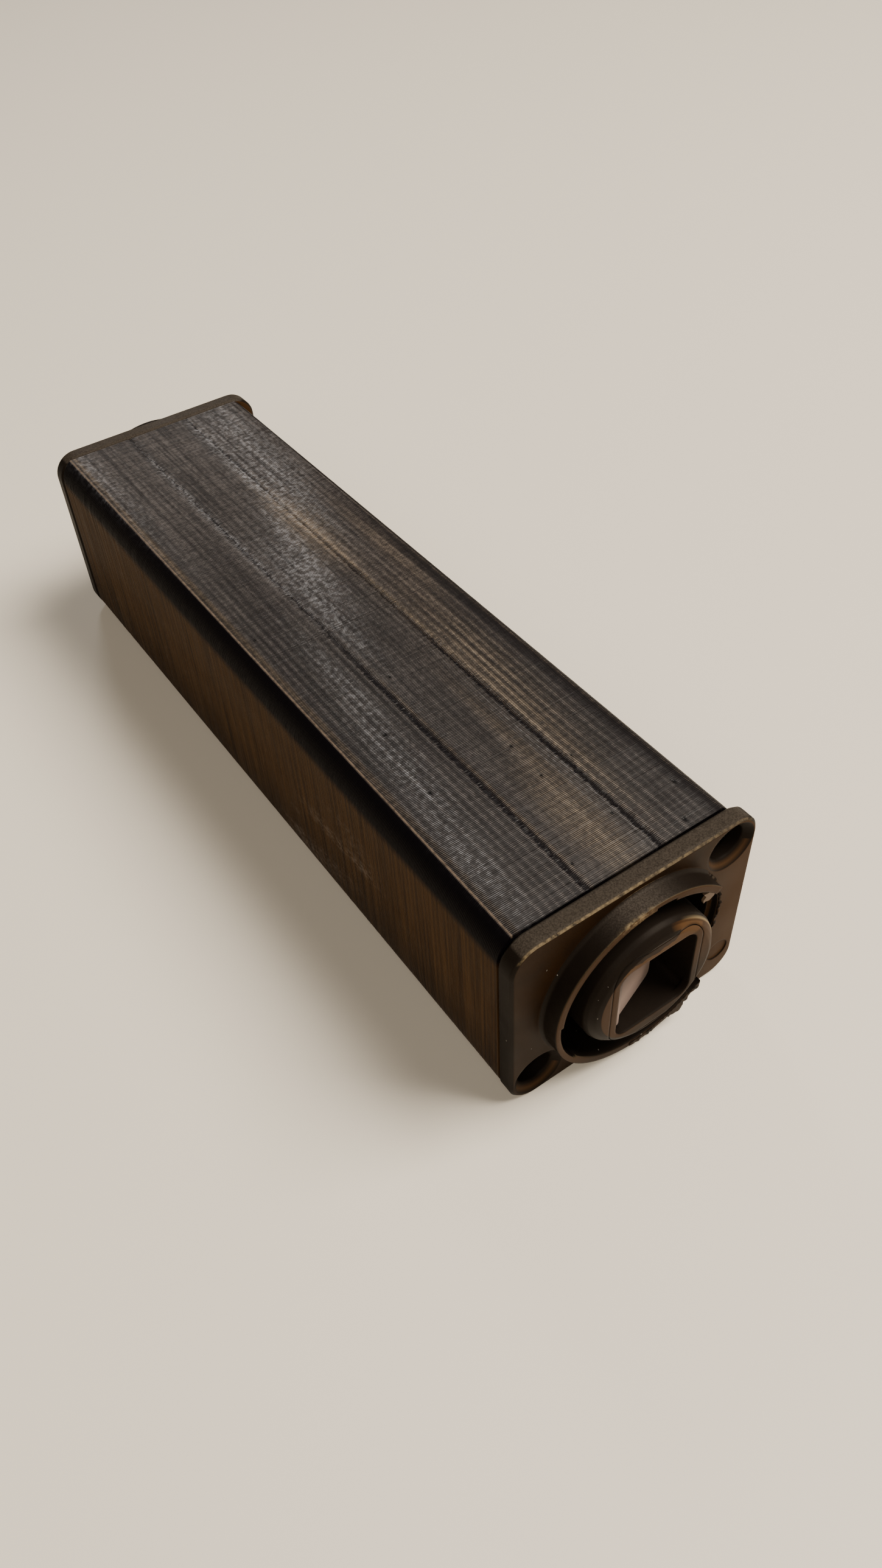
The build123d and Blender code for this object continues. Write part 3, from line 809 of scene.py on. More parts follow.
# %% The section of the sleeve
SLEEVE_LOW, SLEEVE_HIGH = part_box("printed_sleeve")
LAYER_MM = 0.2
CORNER_RADIUS = 3.7 * MM
EDGE_INSET = 1.7 * MM
ARC_STEPS = 6
ARC_FOOT = 3 * MM
SHRINK_LINE_MM = 4.5
SHRINK_LINES = (-SHRINK_LINE_MM * MM, SHRINK_LINE_MM * MM)
LINE_STEPS_MM = (-0.6, -0.28, -0.12, 0.0, 0.12, 0.28, 0.6)
LINE_CLEARANCE = 0.7 * MM
TOP_POINTS = 20
BORE_RADIUS = 12.0 * MM
AXIS_HEIGHT = AXIS_MM * MM


def corner_arc(side, inward, base, angles):
    """Points of a corner arc. Inward is 1 from the left side and -1 from the right side."""
    across = [side + inward * CORNER_RADIUS * (1 - math.cos(angle)) for angle in angles]
    up = [base + CORNER_RADIUS * math.sin(angle) for angle in angles]
    return list(zip(across, up))


def half_outline():
    """The upper half of the section, from the right wall over the top to the left wall."""
    left, right, top = SLEEVE_LOW.y, SLEEVE_HIGH.y, SLEEVE_HIGH.z
    last = math.acos((CORNER_RADIUS - EDGE_INSET) / CORNER_RADIUS)
    arc_base = top - CORNER_RADIUS * math.sin(last)
    angles = [last * step / ARC_STEPS for step in range(ARC_STEPS + 1)]
    across = set(np.linspace(right - EDGE_INSET, left + EDGE_INSET, TOP_POINTS)[1:-1])
    for line in SHRINK_LINES:
        across = {y for y in across if abs(y - line) > LINE_CLEARANCE}
        across |= {line + step * MM for step in LINE_STEPS_MM}
    points = [(right, AXIS_HEIGHT), (right, arc_base - ARC_FOOT)]
    points += corner_arc(right, -1, arc_base, angles)
    points += [(y, top) for y in sorted(across, reverse=True)]
    points += corner_arc(left, 1, arc_base, angles[::-1])
    points += [(left, arc_base - ARC_FOOT), (left, AXIS_HEIGHT)]
    return points


UPPER_HALF = half_outline()
LOWER_HALF = [(y, 2 * AXIS_HEIGHT - z) for y, z in reversed(UPPER_HALF)][1:-1]
OUTLINE = np.array(UPPER_HALF + LOWER_HALF)
print("points round the sleeve:", len(OUTLINE))

# %% [markdown]
# No layer lies quite like the next, so each ring has a little chance of its own. A shrink line
# is a shallow furrow that wanders from layer to layer. Two of them run along the top and two
# along the underside.

# %% How each layer differs
VALLEY_DEPTH = 0.022 * MM
JITTER = 0.006 * MM
LINE_DEPTH = 0.10 * MM
LINE_HALF_WIDTH = 0.20 * MM
LINE_WANDER = 0.05 * MM
LINE_MEMORY = 0.8
SLEEVE_SEED = 7
FLAT_LIMIT = 0.01 * MM


def inward_normals(outline):
    """A unit vector into the sleeve at each point, at right angles to its neighbours' line."""
    ahead = np.roll(outline, -1, axis=0) - np.roll(outline, 1, axis=0)
    inward = np.stack([-ahead[:, 1], ahead[:, 0]], axis=1)
    return inward / np.linalg.norm(inward, axis=1)[:, None]


def line_depths(outline, shifts):
    """How far each point of the section sinks into a shrink line."""
    from_axis = np.abs(outline[:, 1] - AXIS_HEIGHT)
    on_flat = np.abs(from_axis - (SLEEVE_HIGH.z - AXIS_HEIGHT)) < FLAT_LIMIT
    depths = np.zeros(len(outline))
    for line, shift in zip(SHRINK_LINES, shifts):
        share = (outline[:, 0] - line - shift) / LINE_HALF_WIDTH
        depths += LINE_DEPTH * np.exp(-(share**2))
    return depths * on_flat


def layer_rings(layers):
    """The points of each ring. The shrink lines wander from one ring to the next."""
    pitch = (SLEEVE_HIGH.x - SLEEVE_LOW.x) / layers
    chance = np.random.default_rng(SLEEVE_SEED)
    inward = inward_normals(OUTLINE)
    count = len(OUTLINE)
    rings = []
    shifts = np.zeros(len(SHRINK_LINES))
    for ring in range(2 * layers + 1):
        shifts = shifts * LINE_MEMORY + chance.normal(0, LINE_WANDER, len(SHRINK_LINES))
        valley = VALLEY_DEPTH if ring % 2 == 0 else 0.0
        wobble = chance.random() * JITTER + chance.random(count) * JITTER
        inset = (valley + wobble + line_depths(OUTLINE, shifts))[:, None] * inward
        x = np.full((count, 1), SLEEVE_LOW.x + ring * pitch / 2)
        rings.append(np.hstack([x, OUTLINE + inset]))
    return rings


LAYER_COUNT = int((SLEEVE_HIGH.x - SLEEVE_LOW.x) / (LAYER_MM * MM))
print("layers:", LAYER_COUNT)

# %% [markdown]
# The rings become a mesh with a band of faces between each ring and the next. The end faces and
# the bore close it. The edges along the rings are marked sharp, and those between two rings
# stay smooth.

# %% The sleeve as a mesh


def bore_rings():
    """A ring of the bore at each end, with a point for every point of the section."""
    angles = np.arctan2(OUTLINE[:, 1] - AXIS_HEIGHT, OUTLINE[:, 0])
    bore = np.stack([np.cos(angles), np.sin(angles)], axis=1) * BORE_RADIUS
    bore += np.array([0, AXIS_HEIGHT])
    ends = (SLEEVE_LOW.x, SLEEVE_HIGH.x)
    return [np.hstack([np.full((len(bore), 1), x), bore]) for x in ends]


def band(first, second, count):
    """The faces between two rings whose points start at the given numbers."""
    pairs = [(index, (index + 1) % count) for index in range(count)]
    return [(first + i, first + after, second + after, second + i) for i, after in pairs]


def build_sleeve():
    """Rings of points along the sleeve, closed by end faces and the bore."""
    rings = layer_rings(LAYER_COUNT)
    count = len(OUTLINE)
    faces = []
    for ring in range(len(rings) - 1):
        faces += band(ring * count, (ring + 1) * count, count)
    near = (len(rings) - 1) * count
    bore_far = len(rings) * count
    bore_near = bore_far + count
    faces += band(near, bore_near, count) + band(bore_near, bore_far, count)
    faces += band(bore_far, 0, count)
    mesh = bpy.data.meshes.new("printed_sleeve_layers")
    mesh.from_pydata(np.vstack(rings + bore_rings()).tolist(), [], faces)
    mesh.validate()
    mesh.shade_smooth()
    ends = np.empty(2 * len(mesh.edges), int)
    mesh.edges.foreach_get("vertices", ends)
    ends = ends.reshape(-1, 2) // count
    sharp = mesh.attributes.new("sharp_edge", "BOOLEAN", "EDGE")
    sharp.data.foreach_set("value", ends[:, 0] == ends[:, 1])
    sleeve = bpy.data.objects.new("printed_sleeve_layers", mesh)
    bpy.context.scene.collection.objects.link(sleeve)
    print("faces of the sleeve:", len(faces))
    return sleeve


sleeve = build_sleeve()
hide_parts("printed_sleeve")
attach(sleeve, "housing")

# %% [markdown]
# The print's finish is silky black, and two more node groups give it its look. The first is the
# layers: a crest every 0.2 mm, and a number by chance for each layer.

# %% Shader group: layers
LAYERS, _, layers_out = new_group(
    "layers", [], [("Crest", "NodeSocketFloat"), ("Chance", "NodeSocketFloat")]
)
along, _, _ = axes_of(LAYERS, millimetres(LAYERS))
turns = math_node(LAYERS, "MULTIPLY", along, 2 * math.pi / LAYER_MM)
crest = scaled(LAYERS, math_node(LAYERS, "COSINE", turns), -0.5, 0.5)
number = math_node(LAYERS, "FLOOR", math_node(LAYERS, "MULTIPLY", along, 1 / LAYER_MM))
white = add(LAYERS, "ShaderNodeTexWhiteNoise", noise_dimensions="1D")
LAYERS.links.new(number, white.inputs["W"])
LAYERS.links.new(crest, layers_out.inputs["Crest"])
LAYERS.links.new(white.outputs["Value"], layers_out.inputs["Chance"])
print("layers:", len(LAYERS.nodes), "nodes")

# %% [markdown]
# Ringing is the mark of a nozzle that shakes as it leaves a shrink line: bands run along the
# whole length, 0.93 mm apart, and fade outwards. They are strongest near the front.

# %% Shader group: ringing
RINGING_PERIOD_MM = 0.93
FIRST_RING_MM = 0.75
DRIFT_NOISE, DRIFT_TURNS = (60.0, 2.0), 3.0
SHAKE_TURNS = 0.9
RING_SHARPNESS = 1.8
RING_FADE = -0.14
RING_MEAN = 0.35
RING_START = (0.0, 0.4)
RING_FRONT = (-25.0, 40.0)
RING_FRONT_GAIN, RING_FRONT_BASE = 0.8, 0.2
RINGING, _, ringing_out = new_group("ringing", [], [("Height", "NodeSocketFloat")])
ring_along, across, _ = axes_of(RINGING, millimetres(RINGING))
ring_chance = place_group(RINGING, LAYERS).outputs["Chance"]
outward = math_node(RINGING, "SUBTRACT", math_node(RINGING, "ABSOLUTE", across), SHRINK_LINE_MM)
drift = centred(RINGING, noise_value(RINGING, *DRIFT_NOISE))
drift = math_node(RINGING, "MULTIPLY", drift, DRIFT_TURNS)
phase = math_node(RINGING, "SUBTRACT", outward, FIRST_RING_MM)
phase = math_node(RINGING, "MULTIPLY", phase, 2 * math.pi / RINGING_PERIOD_MM)
phase = math_node(RINGING, "ADD", phase, drift)
phase = math_node(RINGING, "ADD", phase, math_node(RINGING, "MULTIPLY", ring_chance, SHAKE_TURNS))
wave = scaled(RINGING, math_node(RINGING, "COSINE", phase), 0.5, 0.5)
wave = math_node(RINGING, "POWER", wave, RING_SHARPNESS)
fading = math_node(RINGING, "MULTIPLY", math_node(RINGING, "ABSOLUTE", outward), RING_FADE)
fading = math_node(RINGING, "EXPONENT", fading)
outside = above(RINGING, outward, *RING_START)
rings = math_node(RINGING, "MULTIPLY", math_node(RINGING, "MULTIPLY", wave, fading), outside)
front_share = above(RINGING, ring_along, *RING_FRONT)
front_share = scaled(RINGING, front_share, RING_FRONT_GAIN, RING_FRONT_BASE)
rings = math_node(RINGING, "SUBTRACT", rings, RING_MEAN)
rings = scaled(RINGING, rings, front_share, RING_MEAN)
rings = math_node(RINGING, "MULTIPLY", rings, outside)
between = math_node(RINGING, "MULTIPLY", inverted(RINGING, outside), RING_MEAN)
ring_height = math_node(RINGING, "ADD", rings, between)
RINGING.links.new(ring_height, ringing_out.inputs["Height"])
print("ringing:", len(RINGING.nodes), "nodes")

# %% [markdown]
# Painted reflections on the top use the patch group again. Each patch has a middle and half
# sizes along and across, in millimetres, and a strength. Silver ones run over the top in two
# slanting rows, painted where the light catches the layers, and bronze ones lie near the front
# and along the shrink lines. Pits are the few places where the nozzle left a hole.

# %% Painted reflections and pits of the top
TOP_MM = 25.9
PATCH_HEIGHT_MM = 0.6
PIT_HALF_SIZES = (0.28, 0.16)
# Painted reflections: a middle, half sizes and a strength for each patch.
SILVER_REFLECTION_PATCHES = (
    ((43, -11.6), (9, 1.5), 0.45),
    ((28, -9.6), (11, 1.7), 0.52),
    ((13, -7.7), (10, 1.2), 0.38),
    ((3, -2.4), (8, 1.4), 0.50),
    ((-8, -0.6), (9, 2.3), 0.52),
    ((-17, 1.8), (8, 1.2), 0.36),
    ((-25, 6.2), (12, 2.3), 0.42),
    ((-42, 8.6), (14, 3.4), 0.46),
    ((-36, 4.2), (20, 0.8), 0.36),
    ((-26, -4.5), (26, 0.55), 0.45),
    ((-46, -12.4), (20, 1.8), 0.30),
    ((36, 2.9), (18, 0.10), 0.25),
    ((36, 3.4), (20, 0.10), 0.25),
    ((34, 3.9), (24, 0.10), 0.25),
)
BRONZE_REFLECTION_PATCHES = (
    ((44, 0.3), (9, 2.0), 0.55),
    ((32, 2.0), (12, 0.8), 0.30),
    ((16, 7.2), (16, 2.6), 0.40),
    ((32, 6.0), (12, 1.0), 0.30),
    ((-6, 10.4), (12, 1.2), 0.30),
    ((-16, 4.6), (9, 2.0), 0.50),
    ((10, 4.95), (26, 0.22), 0.70),
    ((32, -4.1), (16, 0.22), 0.50),
    ((0, -13.05), (70, 0.30), 0.55),
    ((25, 12.4), (32, 0.10), 0.60),
)
PITS = (
    (31.9, 1.1),
    (37.1, 1.0),
    (32.3, -9.5),
    (22.4, -8.5),
    (36.7, 5.3),
    (45.4, 3.4),
    (48.1, -3.9),
    (50.3, 8.5),
    (45.9, 11.2),
    (14.9, -3.0),
    (-0.2, -12.0),
)


def sum_of_patches(tree, patches):
    """One mask from several patches on the top, never above 1."""
    total = 0.0
    for (x, y), (half_x, half_y), strength in patches:
        half_sizes = (half_x, half_y, PATCH_HEIGHT_MM)
        node = place_group(tree, PATCH, Middle=(x, y, TOP_MM), Half_Sizes=half_sizes)
        mask = math_node(tree, "MULTIPLY", node.outputs["Mask"], strength)
        total = math_node(tree, "ADD", total, mask, clamp=True)
    return total


print("patches:", len(SILVER_REFLECTION_PATCHES), "silver and", len(BRONZE_REFLECTION_PATCHES), "bronze_reflection")

# %% [markdown]
# Five noises break the layers up: each has a scale, a detail and a stretch along the three axes.
# The shares in this cell are a gain and a base. Crests, chance and fine noise together give the
# painted sheen of each layer, and rings, streaks and clouds shape it into larger forms.

# %% Printed black plastic: textures
FINE_NOISE = (3200.0, 2.0, (0.5, 0.6, 1))
CLOUD_NOISE = (260.0, 3.0, (0.15, 1, 1))
STREAK_NOISE = (1900.0, 2.0, (0.025, 1, 1))
SIDE_NOISE = (2600.0, 4.0, (1, 0.02, 0.02))
WORM_NOISE = (1700.0, 3.0, (1, 0.8, 1))
CREST_SHARPNESS = 2.2
CHANCE_SHARE = (0.45, 0.65)
RING_SHARE = (1.5, 0.45)
STREAK_RISE, STREAK_SHARE = (0.34, 0.32), (0.75, 0.40)
FINE_RISE, FINE_SHARE = (0.34, 0.30), (0.60, 0.50)
CLOUD_RISE, CLOUD_SHARE = (0.30, 0.40), (0.6, 0.5)
WORM_RISE, WORM_SHARE = (0.46, 0.10), (1.25, 0.30)
PRINTED, print_tree, print_shader = new_material("printed_black")
layer_parts = place_group(print_tree, LAYERS)
ring_height = place_group(print_tree, RINGING).outputs["Height"]
along_place, side_place, height = axes_of(print_tree, millimetres(print_tree))
fine = noise_value(print_tree, *FINE_NOISE)
cloud = noise_value(print_tree, *CLOUD_NOISE)
streak = above(print_tree, noise_value(print_tree, *STREAK_NOISE), *STREAK_RISE)
streak = scaled(print_tree, streak, *STREAK_SHARE)
worms = above(print_tree, noise_value(print_tree, *WORM_NOISE), *WORM_RISE)
worms = scaled(print_tree, worms, *WORM_SHARE)
speckled = scaled(print_tree, above(print_tree, fine, *FINE_RISE), *FINE_SHARE)
patchy = scaled(print_tree, above(print_tree, cloud, *CLOUD_RISE), *CLOUD_SHARE)
crests = math_node(print_tree, "POWER", layer_parts.outputs["Crest"], CREST_SHARPNESS)
chance = scaled(print_tree, layer_parts.outputs["Chance"], *CHANCE_SHARE)
ring_share = scaled(print_tree, ring_height, *RING_SHARE)
sheen = math_node(print_tree, "MULTIPLY", crests, chance)
sheen = math_node(print_tree, "MULTIPLY", sheen, speckled)
shaped = math_node(print_tree, "MULTIPLY", ring_share, streak)
shaped = math_node(print_tree, "MULTIPLY", shaped, patchy)
shaped = math_node(print_tree, "MULTIPLY", sheen, shaped)
print("printed textures:", len(print_tree.nodes), "nodes")

# %% [markdown]
# The colour starts with near black. The arcs keep a darker black, a painted shade. The crests
# on the top get a painted highlight, and the flat sides a painted brown reflection, with painted
# shade on the right and towards the table. Then come the bronze and the silver patches.

# %% Printed black plastic: the top and the sides
PRINT_BLACK = (0.0060, 0.0048, 0.0044, 1.0)
# Below: painted shade for the arcs, painted highlight for the crests, painted reflection and shade
# for the sides, painted reflections for the patches.
PAINTED_SHADE_BLACK = (0.0030, 0.0022, 0.0026, 1.0)
PAINTED_CREST_HIGHLIGHT = (0.110, 0.092, 0.080, 1.0)
PAINTED_SIDE_REFLECTION = (0.062, 0.032, 0.0120, 1.0)
SHADED_SIDE = (0.030, 0.021, 0.0140, 1.0)
PAINTED_BRONZE_REFLECTION = (0.50, 0.35, 0.20, 1.0)
PAINTED_SILVER_REFLECTION = (0.44, 0.425, 0.42, 1.0)
ON_TOP = (25.78, 0.06)
SIDE_ENDS, SIDE_RISE = (22.1, 1.2), (0.15, 0.55)
LOW_SIDE, LOW_SIDE_SHARE = (2.0, 9.0), 0.6
on_top = above(print_tree, height, *ON_TOP)
# Painted shade on the arcs.
color = mix_colors(print_tree, on_top, PAINTED_SHADE_BLACK, PRINT_BLACK)
# Painted highlight on the crests of the top.
lines = product(print_tree, on_top, sheen, streak, ring_share)
color = mix_colors(print_tree, lines, color, PAINTED_CREST_HIGHLIGHT)
# Painted brown reflection on the left side, painted shade on the right side and low down.
right_side = math_node(print_tree, "GREATER_THAN", side_place, 0.0)
side_color = mix_colors(print_tree, right_side, PAINTED_SIDE_REFLECTION, SHADED_SIDE)
low = inverted(print_tree, above(print_tree, height, *LOW_SIDE))
low = math_node(print_tree, "MULTIPLY", low, LOW_SIDE_SHARE)
side_color = mix_colors(print_tree, low, side_color, SHADED_SIDE)
on_side = inverted(print_tree, above(print_tree, height, *SIDE_ENDS))
side_lines = above(print_tree, noise_value(print_tree, *SIDE_NOISE), *SIDE_RISE)
color = mix_colors(print_tree, product(print_tree, on_side, side_lines), color, side_color)
# Painted silver and bronze reflections on the top.
silver_reflection = sum_of_patches(print_tree, SILVER_REFLECTION_PATCHES)
silver_reflection = math_node(print_tree, "MULTIPLY", silver_reflection, product(print_tree, shaped, worms), clamp=True)
bronze_reflection = sum_of_patches(print_tree, BRONZE_REFLECTION_PATCHES)
bronze_reflection = math_node(print_tree, "MULTIPLY", bronze_reflection, shaped, clamp=True)
color = mix_colors(print_tree, bronze_reflection, color, PAINTED_BRONZE_REFLECTION)
color = mix_colors(print_tree, silver_reflection, color, PAINTED_SILVER_REFLECTION)
print("top and sides:", len(print_tree.nodes), "nodes")

# %% [markdown]
# Each shrink line gets a painted shade along the near half. It wanders a little and is jagged
# from layer to layer. The right edge of the top gets a painted shade too, except where a bronze
# reflection is painted.

# %% Printed black plastic: painted shade in the shrink lines and on the right edge
DARK_LINES_MM = (-4.75, 4.35)
DARK_LINE_REACH_MM, DARK_LINE_GAIN = 0.30, 2.5
WANDER_NOISE, WANDER_MM, JAGGED_MM = (700.0, 4.0, (1, 0, 0)), 0.8, 0.12
NEAR_HALF = (0.0, 14.0)
DARK_RIGHT, DARK_RIGHT_SHARE, DARK_RIGHT_LIMIT = (10.9, 0.5), 0.7, 0.85
FRONT_PART = (-30.0, 25.0)
wander = centred(print_tree, noise_value(print_tree, *WANDER_NOISE))
wander = math_node(print_tree, "MULTIPLY", wander, WANDER_MM)
jagged = centred(print_tree, layer_parts.outputs["Chance"])
jagged = math_node(print_tree, "MULTIPLY", jagged, JAGGED_MM)
wander = math_node(print_tree, "ADD", wander, jagged)
across_line = math_node(print_tree, "SUBTRACT", side_place, wander)
near_half = above(print_tree, along_place, *NEAR_HALF)
# Painted shade in the shrink lines, on the near half.
for line_place in DARK_LINES_MM:
    dark = near_value(print_tree, across_line, line_place, DARK_LINE_REACH_MM)
    dark = math_node(print_tree, "MULTIPLY", dark, DARK_LINE_GAIN, clamp=True)
    color = mix_colors(print_tree, product(print_tree, dark, on_top, near_half), color, PAINTED_SHADE_BLACK)
# Painted shade along the right edge of the top.
dark_right = above(print_tree, side_place, *DARK_RIGHT)
dark_right = product(print_tree, dark_right, on_top, above(print_tree, along_place, *FRONT_PART))
unreflected_share = math_node(print_tree, "SUBTRACT", DARK_RIGHT_LIMIT, bronze_reflection, clamp=True)
dark_right = math_node(print_tree, "MULTIPLY", dark_right, unreflected_share)
dark_right = math_node(print_tree, "MULTIPLY", dark_right, DARK_RIGHT_SHARE)
color = mix_colors(print_tree, dark_right, color, PAINTED_SHADE_BLACK)
print("dark lines at", DARK_LINES_MM, "mm across")

# %% [markdown]
# Last come the bronze line along the left edge of the top, a painted highlight, the pale patches
# that slant up the left side, and the pits, painted dark for the shade inside them, which get
# their depth below.

# %% Printed black plastic: the left edge highlight, the pale patches and the pits
# A painted highlight for the left edge, a pale colour for the side, and a painted shade for the
# pits.
EDGE_HIGHLIGHT_BRONZE = (0.15, 0.105, 0.070, 1.0)
SIDE_PALE_COLOR = (0.24, 0.20, 0.165, 1.0)
PIT_PAINTED_SHADE = (0.002, 0.002, 0.002, 1.0)
LEFT_EDGE, EDGE_UP = (-13.62, 0.16), (25.5, 0.2)
SIDE_PALE_PLACES_MM = ((12, 6), (16, 8), (20, 10), (24, 13))
SIDE_PALE_ACROSS_MM = -15.4
SIDE_PALE_HALF_SIZES = (5.0, 0.6, 3.0)
SIDE_PALE_SHARE = 0.8
SIDE_PALE_FINE_RISE, SIDE_PALE_CLOUD_RISE = (0.42, 0.3), (0.45, 0.2)
# Painted highlight along the left edge of the top.
left_edge_highlight = near_value(print_tree, side_place, *LEFT_EDGE)
left_edge_highlight = product(print_tree, left_edge_highlight, above(print_tree, height, *EDGE_UP), speckled)
color = mix_colors(print_tree, left_edge_highlight, color, EDGE_HIGHLIGHT_BRONZE)
pale_marks = 0.0
for pale_x, pale_z in SIDE_PALE_PLACES_MM:
    middle = (pale_x, SIDE_PALE_ACROSS_MM, pale_z)
    pale_mark = place_group(print_tree, PATCH, Middle=middle, Half_Sizes=SIDE_PALE_HALF_SIZES)
    pale_marks = math_node(print_tree, "ADD", pale_marks, pale_mark.outputs["Mask"], clamp=True)
pale_marks = math_node(print_tree, "MULTIPLY", pale_marks, SIDE_PALE_SHARE)
specked = above(print_tree, fine, *SIDE_PALE_FINE_RISE)
clouded = above(print_tree, cloud, *SIDE_PALE_CLOUD_RISE)
color = mix_colors(print_tree, product(print_tree, pale_marks, specked, clouded), color, SIDE_PALE_COLOR)
# Painted shade inside the pits.
pits = sum_of_patches(print_tree, [(place, PIT_HALF_SIZES, 1.0) for place in PITS])
color = mix_colors(print_tree, pits, color, PIT_PAINTED_SHADE)
print_tree.links.new(color, print_shader.inputs["Base Color"])
print("printed black:", len(print_tree.nodes), "nodes")

# %% [markdown]
# The shine is uneven like the clouds, and weak on the sides. Rings, pits and fine noise are too
# small and too many to build as points, so they are bumps, one after another.

# %% Printed black plastic: shine and relief
PRINT_TINT = (1.0, 0.93, 0.86, 1.0)
PRINT_ROUGH_SHARE, PRINT_SHINE_SHARE = (0.25, 0.24), (0.10, 0.02)
RING_DEPTH_MM, PIT_DEPTH_MM, FINE_DEPTH_MM = 0.035, 0.06, 0.010
rough = scaled(print_tree, cloud, *PRINT_ROUGH_SHARE)
print_tree.links.new(rough, print_shader.inputs["Roughness"])
shine = scaled(print_tree, on_top, *PRINT_SHINE_SHARE)
print_tree.links.new(shine, print_shader.inputs["Specular IOR Level"])
print_shader.inputs["Specular Tint"].default_value = PRINT_TINT
relief = bump(print_tree, ring_height, RING_DEPTH_MM)
relief = bump(print_tree, inverted(print_tree, pits), PIT_DEPTH_MM, relief)
relief = bump(print_tree, fine, FINE_DEPTH_MM, relief)
print_tree.links.new(relief, print_shader.inputs["Normal"])
sleeve.data.materials.append(PRINTED)
dress("printed_sleeve", PRINTED)
print("sleeve dressed in", PRINTED.name)

# %% [markdown]
# The right side of the near collar is broken off, and the break is ragged. Three small solids
# show it: a jagged edge on what is left of the rim below, a low rough ridge on the flange where
# the collar stood, and a bent flake that hangs at the upper end of the break.
# A strip runs round the connector's axis through samples of an angle, two radii and two heights.

# %% Solids of the break
FLAKE_LEAN = 0.15


def solid(name, points, faces, material):
    """A small closed piece of the near receptacle."""
    mesh = bpy.data.meshes.new(name)
    mesh.from_pydata([tuple(c * MM for c in point) for point in points], [], faces)
    mesh.validate()
    shape = bmesh.new()
    shape.from_mesh(mesh)
    bmesh.ops.recalc_face_normals(shape, faces=shape.faces)
    shape.to_mesh(mesh)
    shape.free()
    mesh.materials.append(material)
    piece = bpy.data.objects.new(name, mesh)
    bpy.context.scene.collection.objects.link(piece)
    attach(piece, "housing")
    print(name, "of", len(mesh.polygons), "faces")


def strip(name, samples, material):
    """A strip round the axis, through samples of angle, inner and outer radius, and two heights."""
    points = []
    for angle, inner, outer, low, high in samples:
        across, up = math.cos(math.radians(angle)), math.sin(math.radians(angle))
        for x, radius in ((low, inner), (low, outer), (high, outer), (high, inner)):
            points.append((x, radius * across, AXIS_MM + radius * up))
    faces = [(0, 1, 2, 3), tuple(range(len(points) - 4, len(points)))]
    for first in range(0, len(points) - 4, 4):
        faces += band(first, first + 4, 4)
    solid(name, points, faces, material)


def prism(name, outline, low, high, material):
    """A plate with a ragged outline. Its free end bends inwards a little."""
    count = len(outline)
    bends = [FLAKE_LEAN * (outline[0][1] - z) for _, z in outline]
    points = [(low - bend, y, z) for bend, (y, z) in zip(bends, outline)]
    points += [(high - bend, y, z) for bend, (y, z) in zip(bends, outline)]
    faces = [tuple(range(count)), tuple(range(count, 2 * count))] + band(0, count, count)
    solid(name, points, faces, material)


# %% [markdown]
# The rim and the flake were traced from the photo. The rim's samples are an angle round the axis
# in degrees and a radius, and the flake's are points across and up.

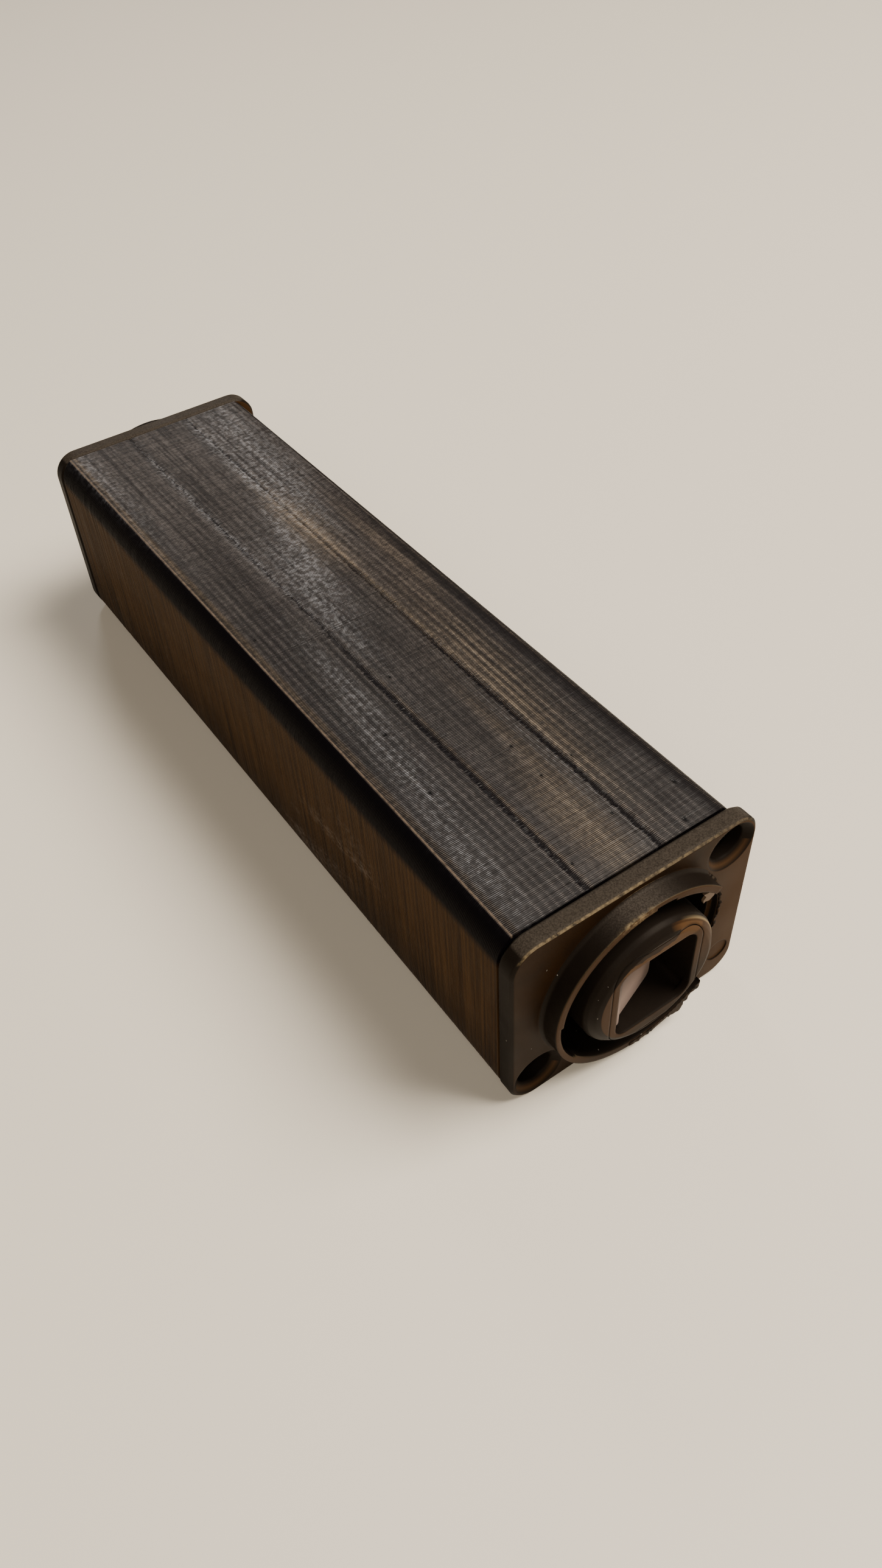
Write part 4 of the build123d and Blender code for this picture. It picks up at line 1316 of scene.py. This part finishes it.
# %% Torn edges of the broken collar
RIM_MM = FLANGE_FACE_MM + 2.3
RIM_ANGLES = (-97.0, -43.0, 1.1)
RIM_EDGE = (
    (-97, 11.8),
    (-80, 11.85),
    (-72.4, 11.3),
    (-70, 11.75),
    (-68.7, 11.93),
    (-66.5, 12.1),
    (-64.5, 12.6),
    (-61.7, 12.5),
    (-59, 11.9),
    (-56, 12.0),
    (-54.6, 11.7),
    (-52, 11.5),
    (-50.5, 12.0),
    (-47.3, 12.2),
    (-45, 11.6),
    (-43.4, 11.4),
)
RIM_INNER = ((-97, 11.2), (-55, 11.0), (-50, 11.3), (-43.4, 11.35))
RIM_TEAR, RIM_THINNEST = (-0.12, 0.10), 0.1
RIM_DOWN, RIM_UP = (0.4, 0.9), (0.01, 0.12)
RIDGE_ANGLES = (-53.0, 42.0, 1.5)
RIDGE_OUTER, RIDGE_OUTER_TEAR = 11.95, (-0.1, 0.1)
RIDGE_INNER, RIDGE_INNER_TEAR = 11.62, (-0.02, 0.12)
RIDGE_FOOT, RIDGE_UP = 0.1, (0.02, 0.30)
FLAKE_BACK, FLAKE_FRONT = 0.5, 0.2
FLAKE = (
    (6.6, 21.0),
    (7.2, 20.9),
    (8.1, 20.6),
    (8.6, 20.1),
    (8.3, 19.4),
    (7.9, 18.9),
    (7.3, 19.2),
    (7.1, 19.0),
    (6.9, 19.6),
    (7.1, 20.2),
)
TEAR_SEED = 11


def torn_samples():
    """The samples round the torn rim and along the ridge."""
    tears = np.random.default_rng(TEAR_SEED)
    rim = []
    for angle in np.arange(*RIM_ANGLES):
        outer = np.interp(angle, *zip(*RIM_EDGE)) + tears.uniform(*RIM_TEAR)
        inner = min(np.interp(angle, *zip(*RIM_INNER)), outer - RIM_THINNEST)
        low, high = RIM_MM - tears.uniform(*RIM_DOWN), RIM_MM + tears.uniform(*RIM_UP)
        rim.append((angle, inner, outer, low, high))
    ridge = []
    for angle in np.arange(*RIDGE_ANGLES):
        outer = RIDGE_OUTER + tears.uniform(*RIDGE_OUTER_TEAR)
        inner = RIDGE_INNER + tears.uniform(*RIDGE_INNER_TEAR)
        high = FLANGE_FACE_MM + tears.uniform(*RIDGE_UP)
        ridge.append((angle, inner, outer, FLANGE_FACE_MM - RIDGE_FOOT, high))
    return rim, ridge


RIM_SAMPLES, RIDGE_SAMPLES = torn_samples()
print("samples round the break:", len(RIM_SAMPLES), "and", len(RIDGE_SAMPLES))
strip("torn_rim", RIM_SAMPLES, MOULDED_INNER)
strip("torn_ridge", RIDGE_SAMPLES, MOULDED_INNER)
prism("torn_flake", FLAKE, RIM_MM - FLAKE_BACK, RIM_MM - FLAKE_FRONT, TORN)

# %% The visual box, and the end
low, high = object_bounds()
print("visual box:", tuple(low), tuple(high))
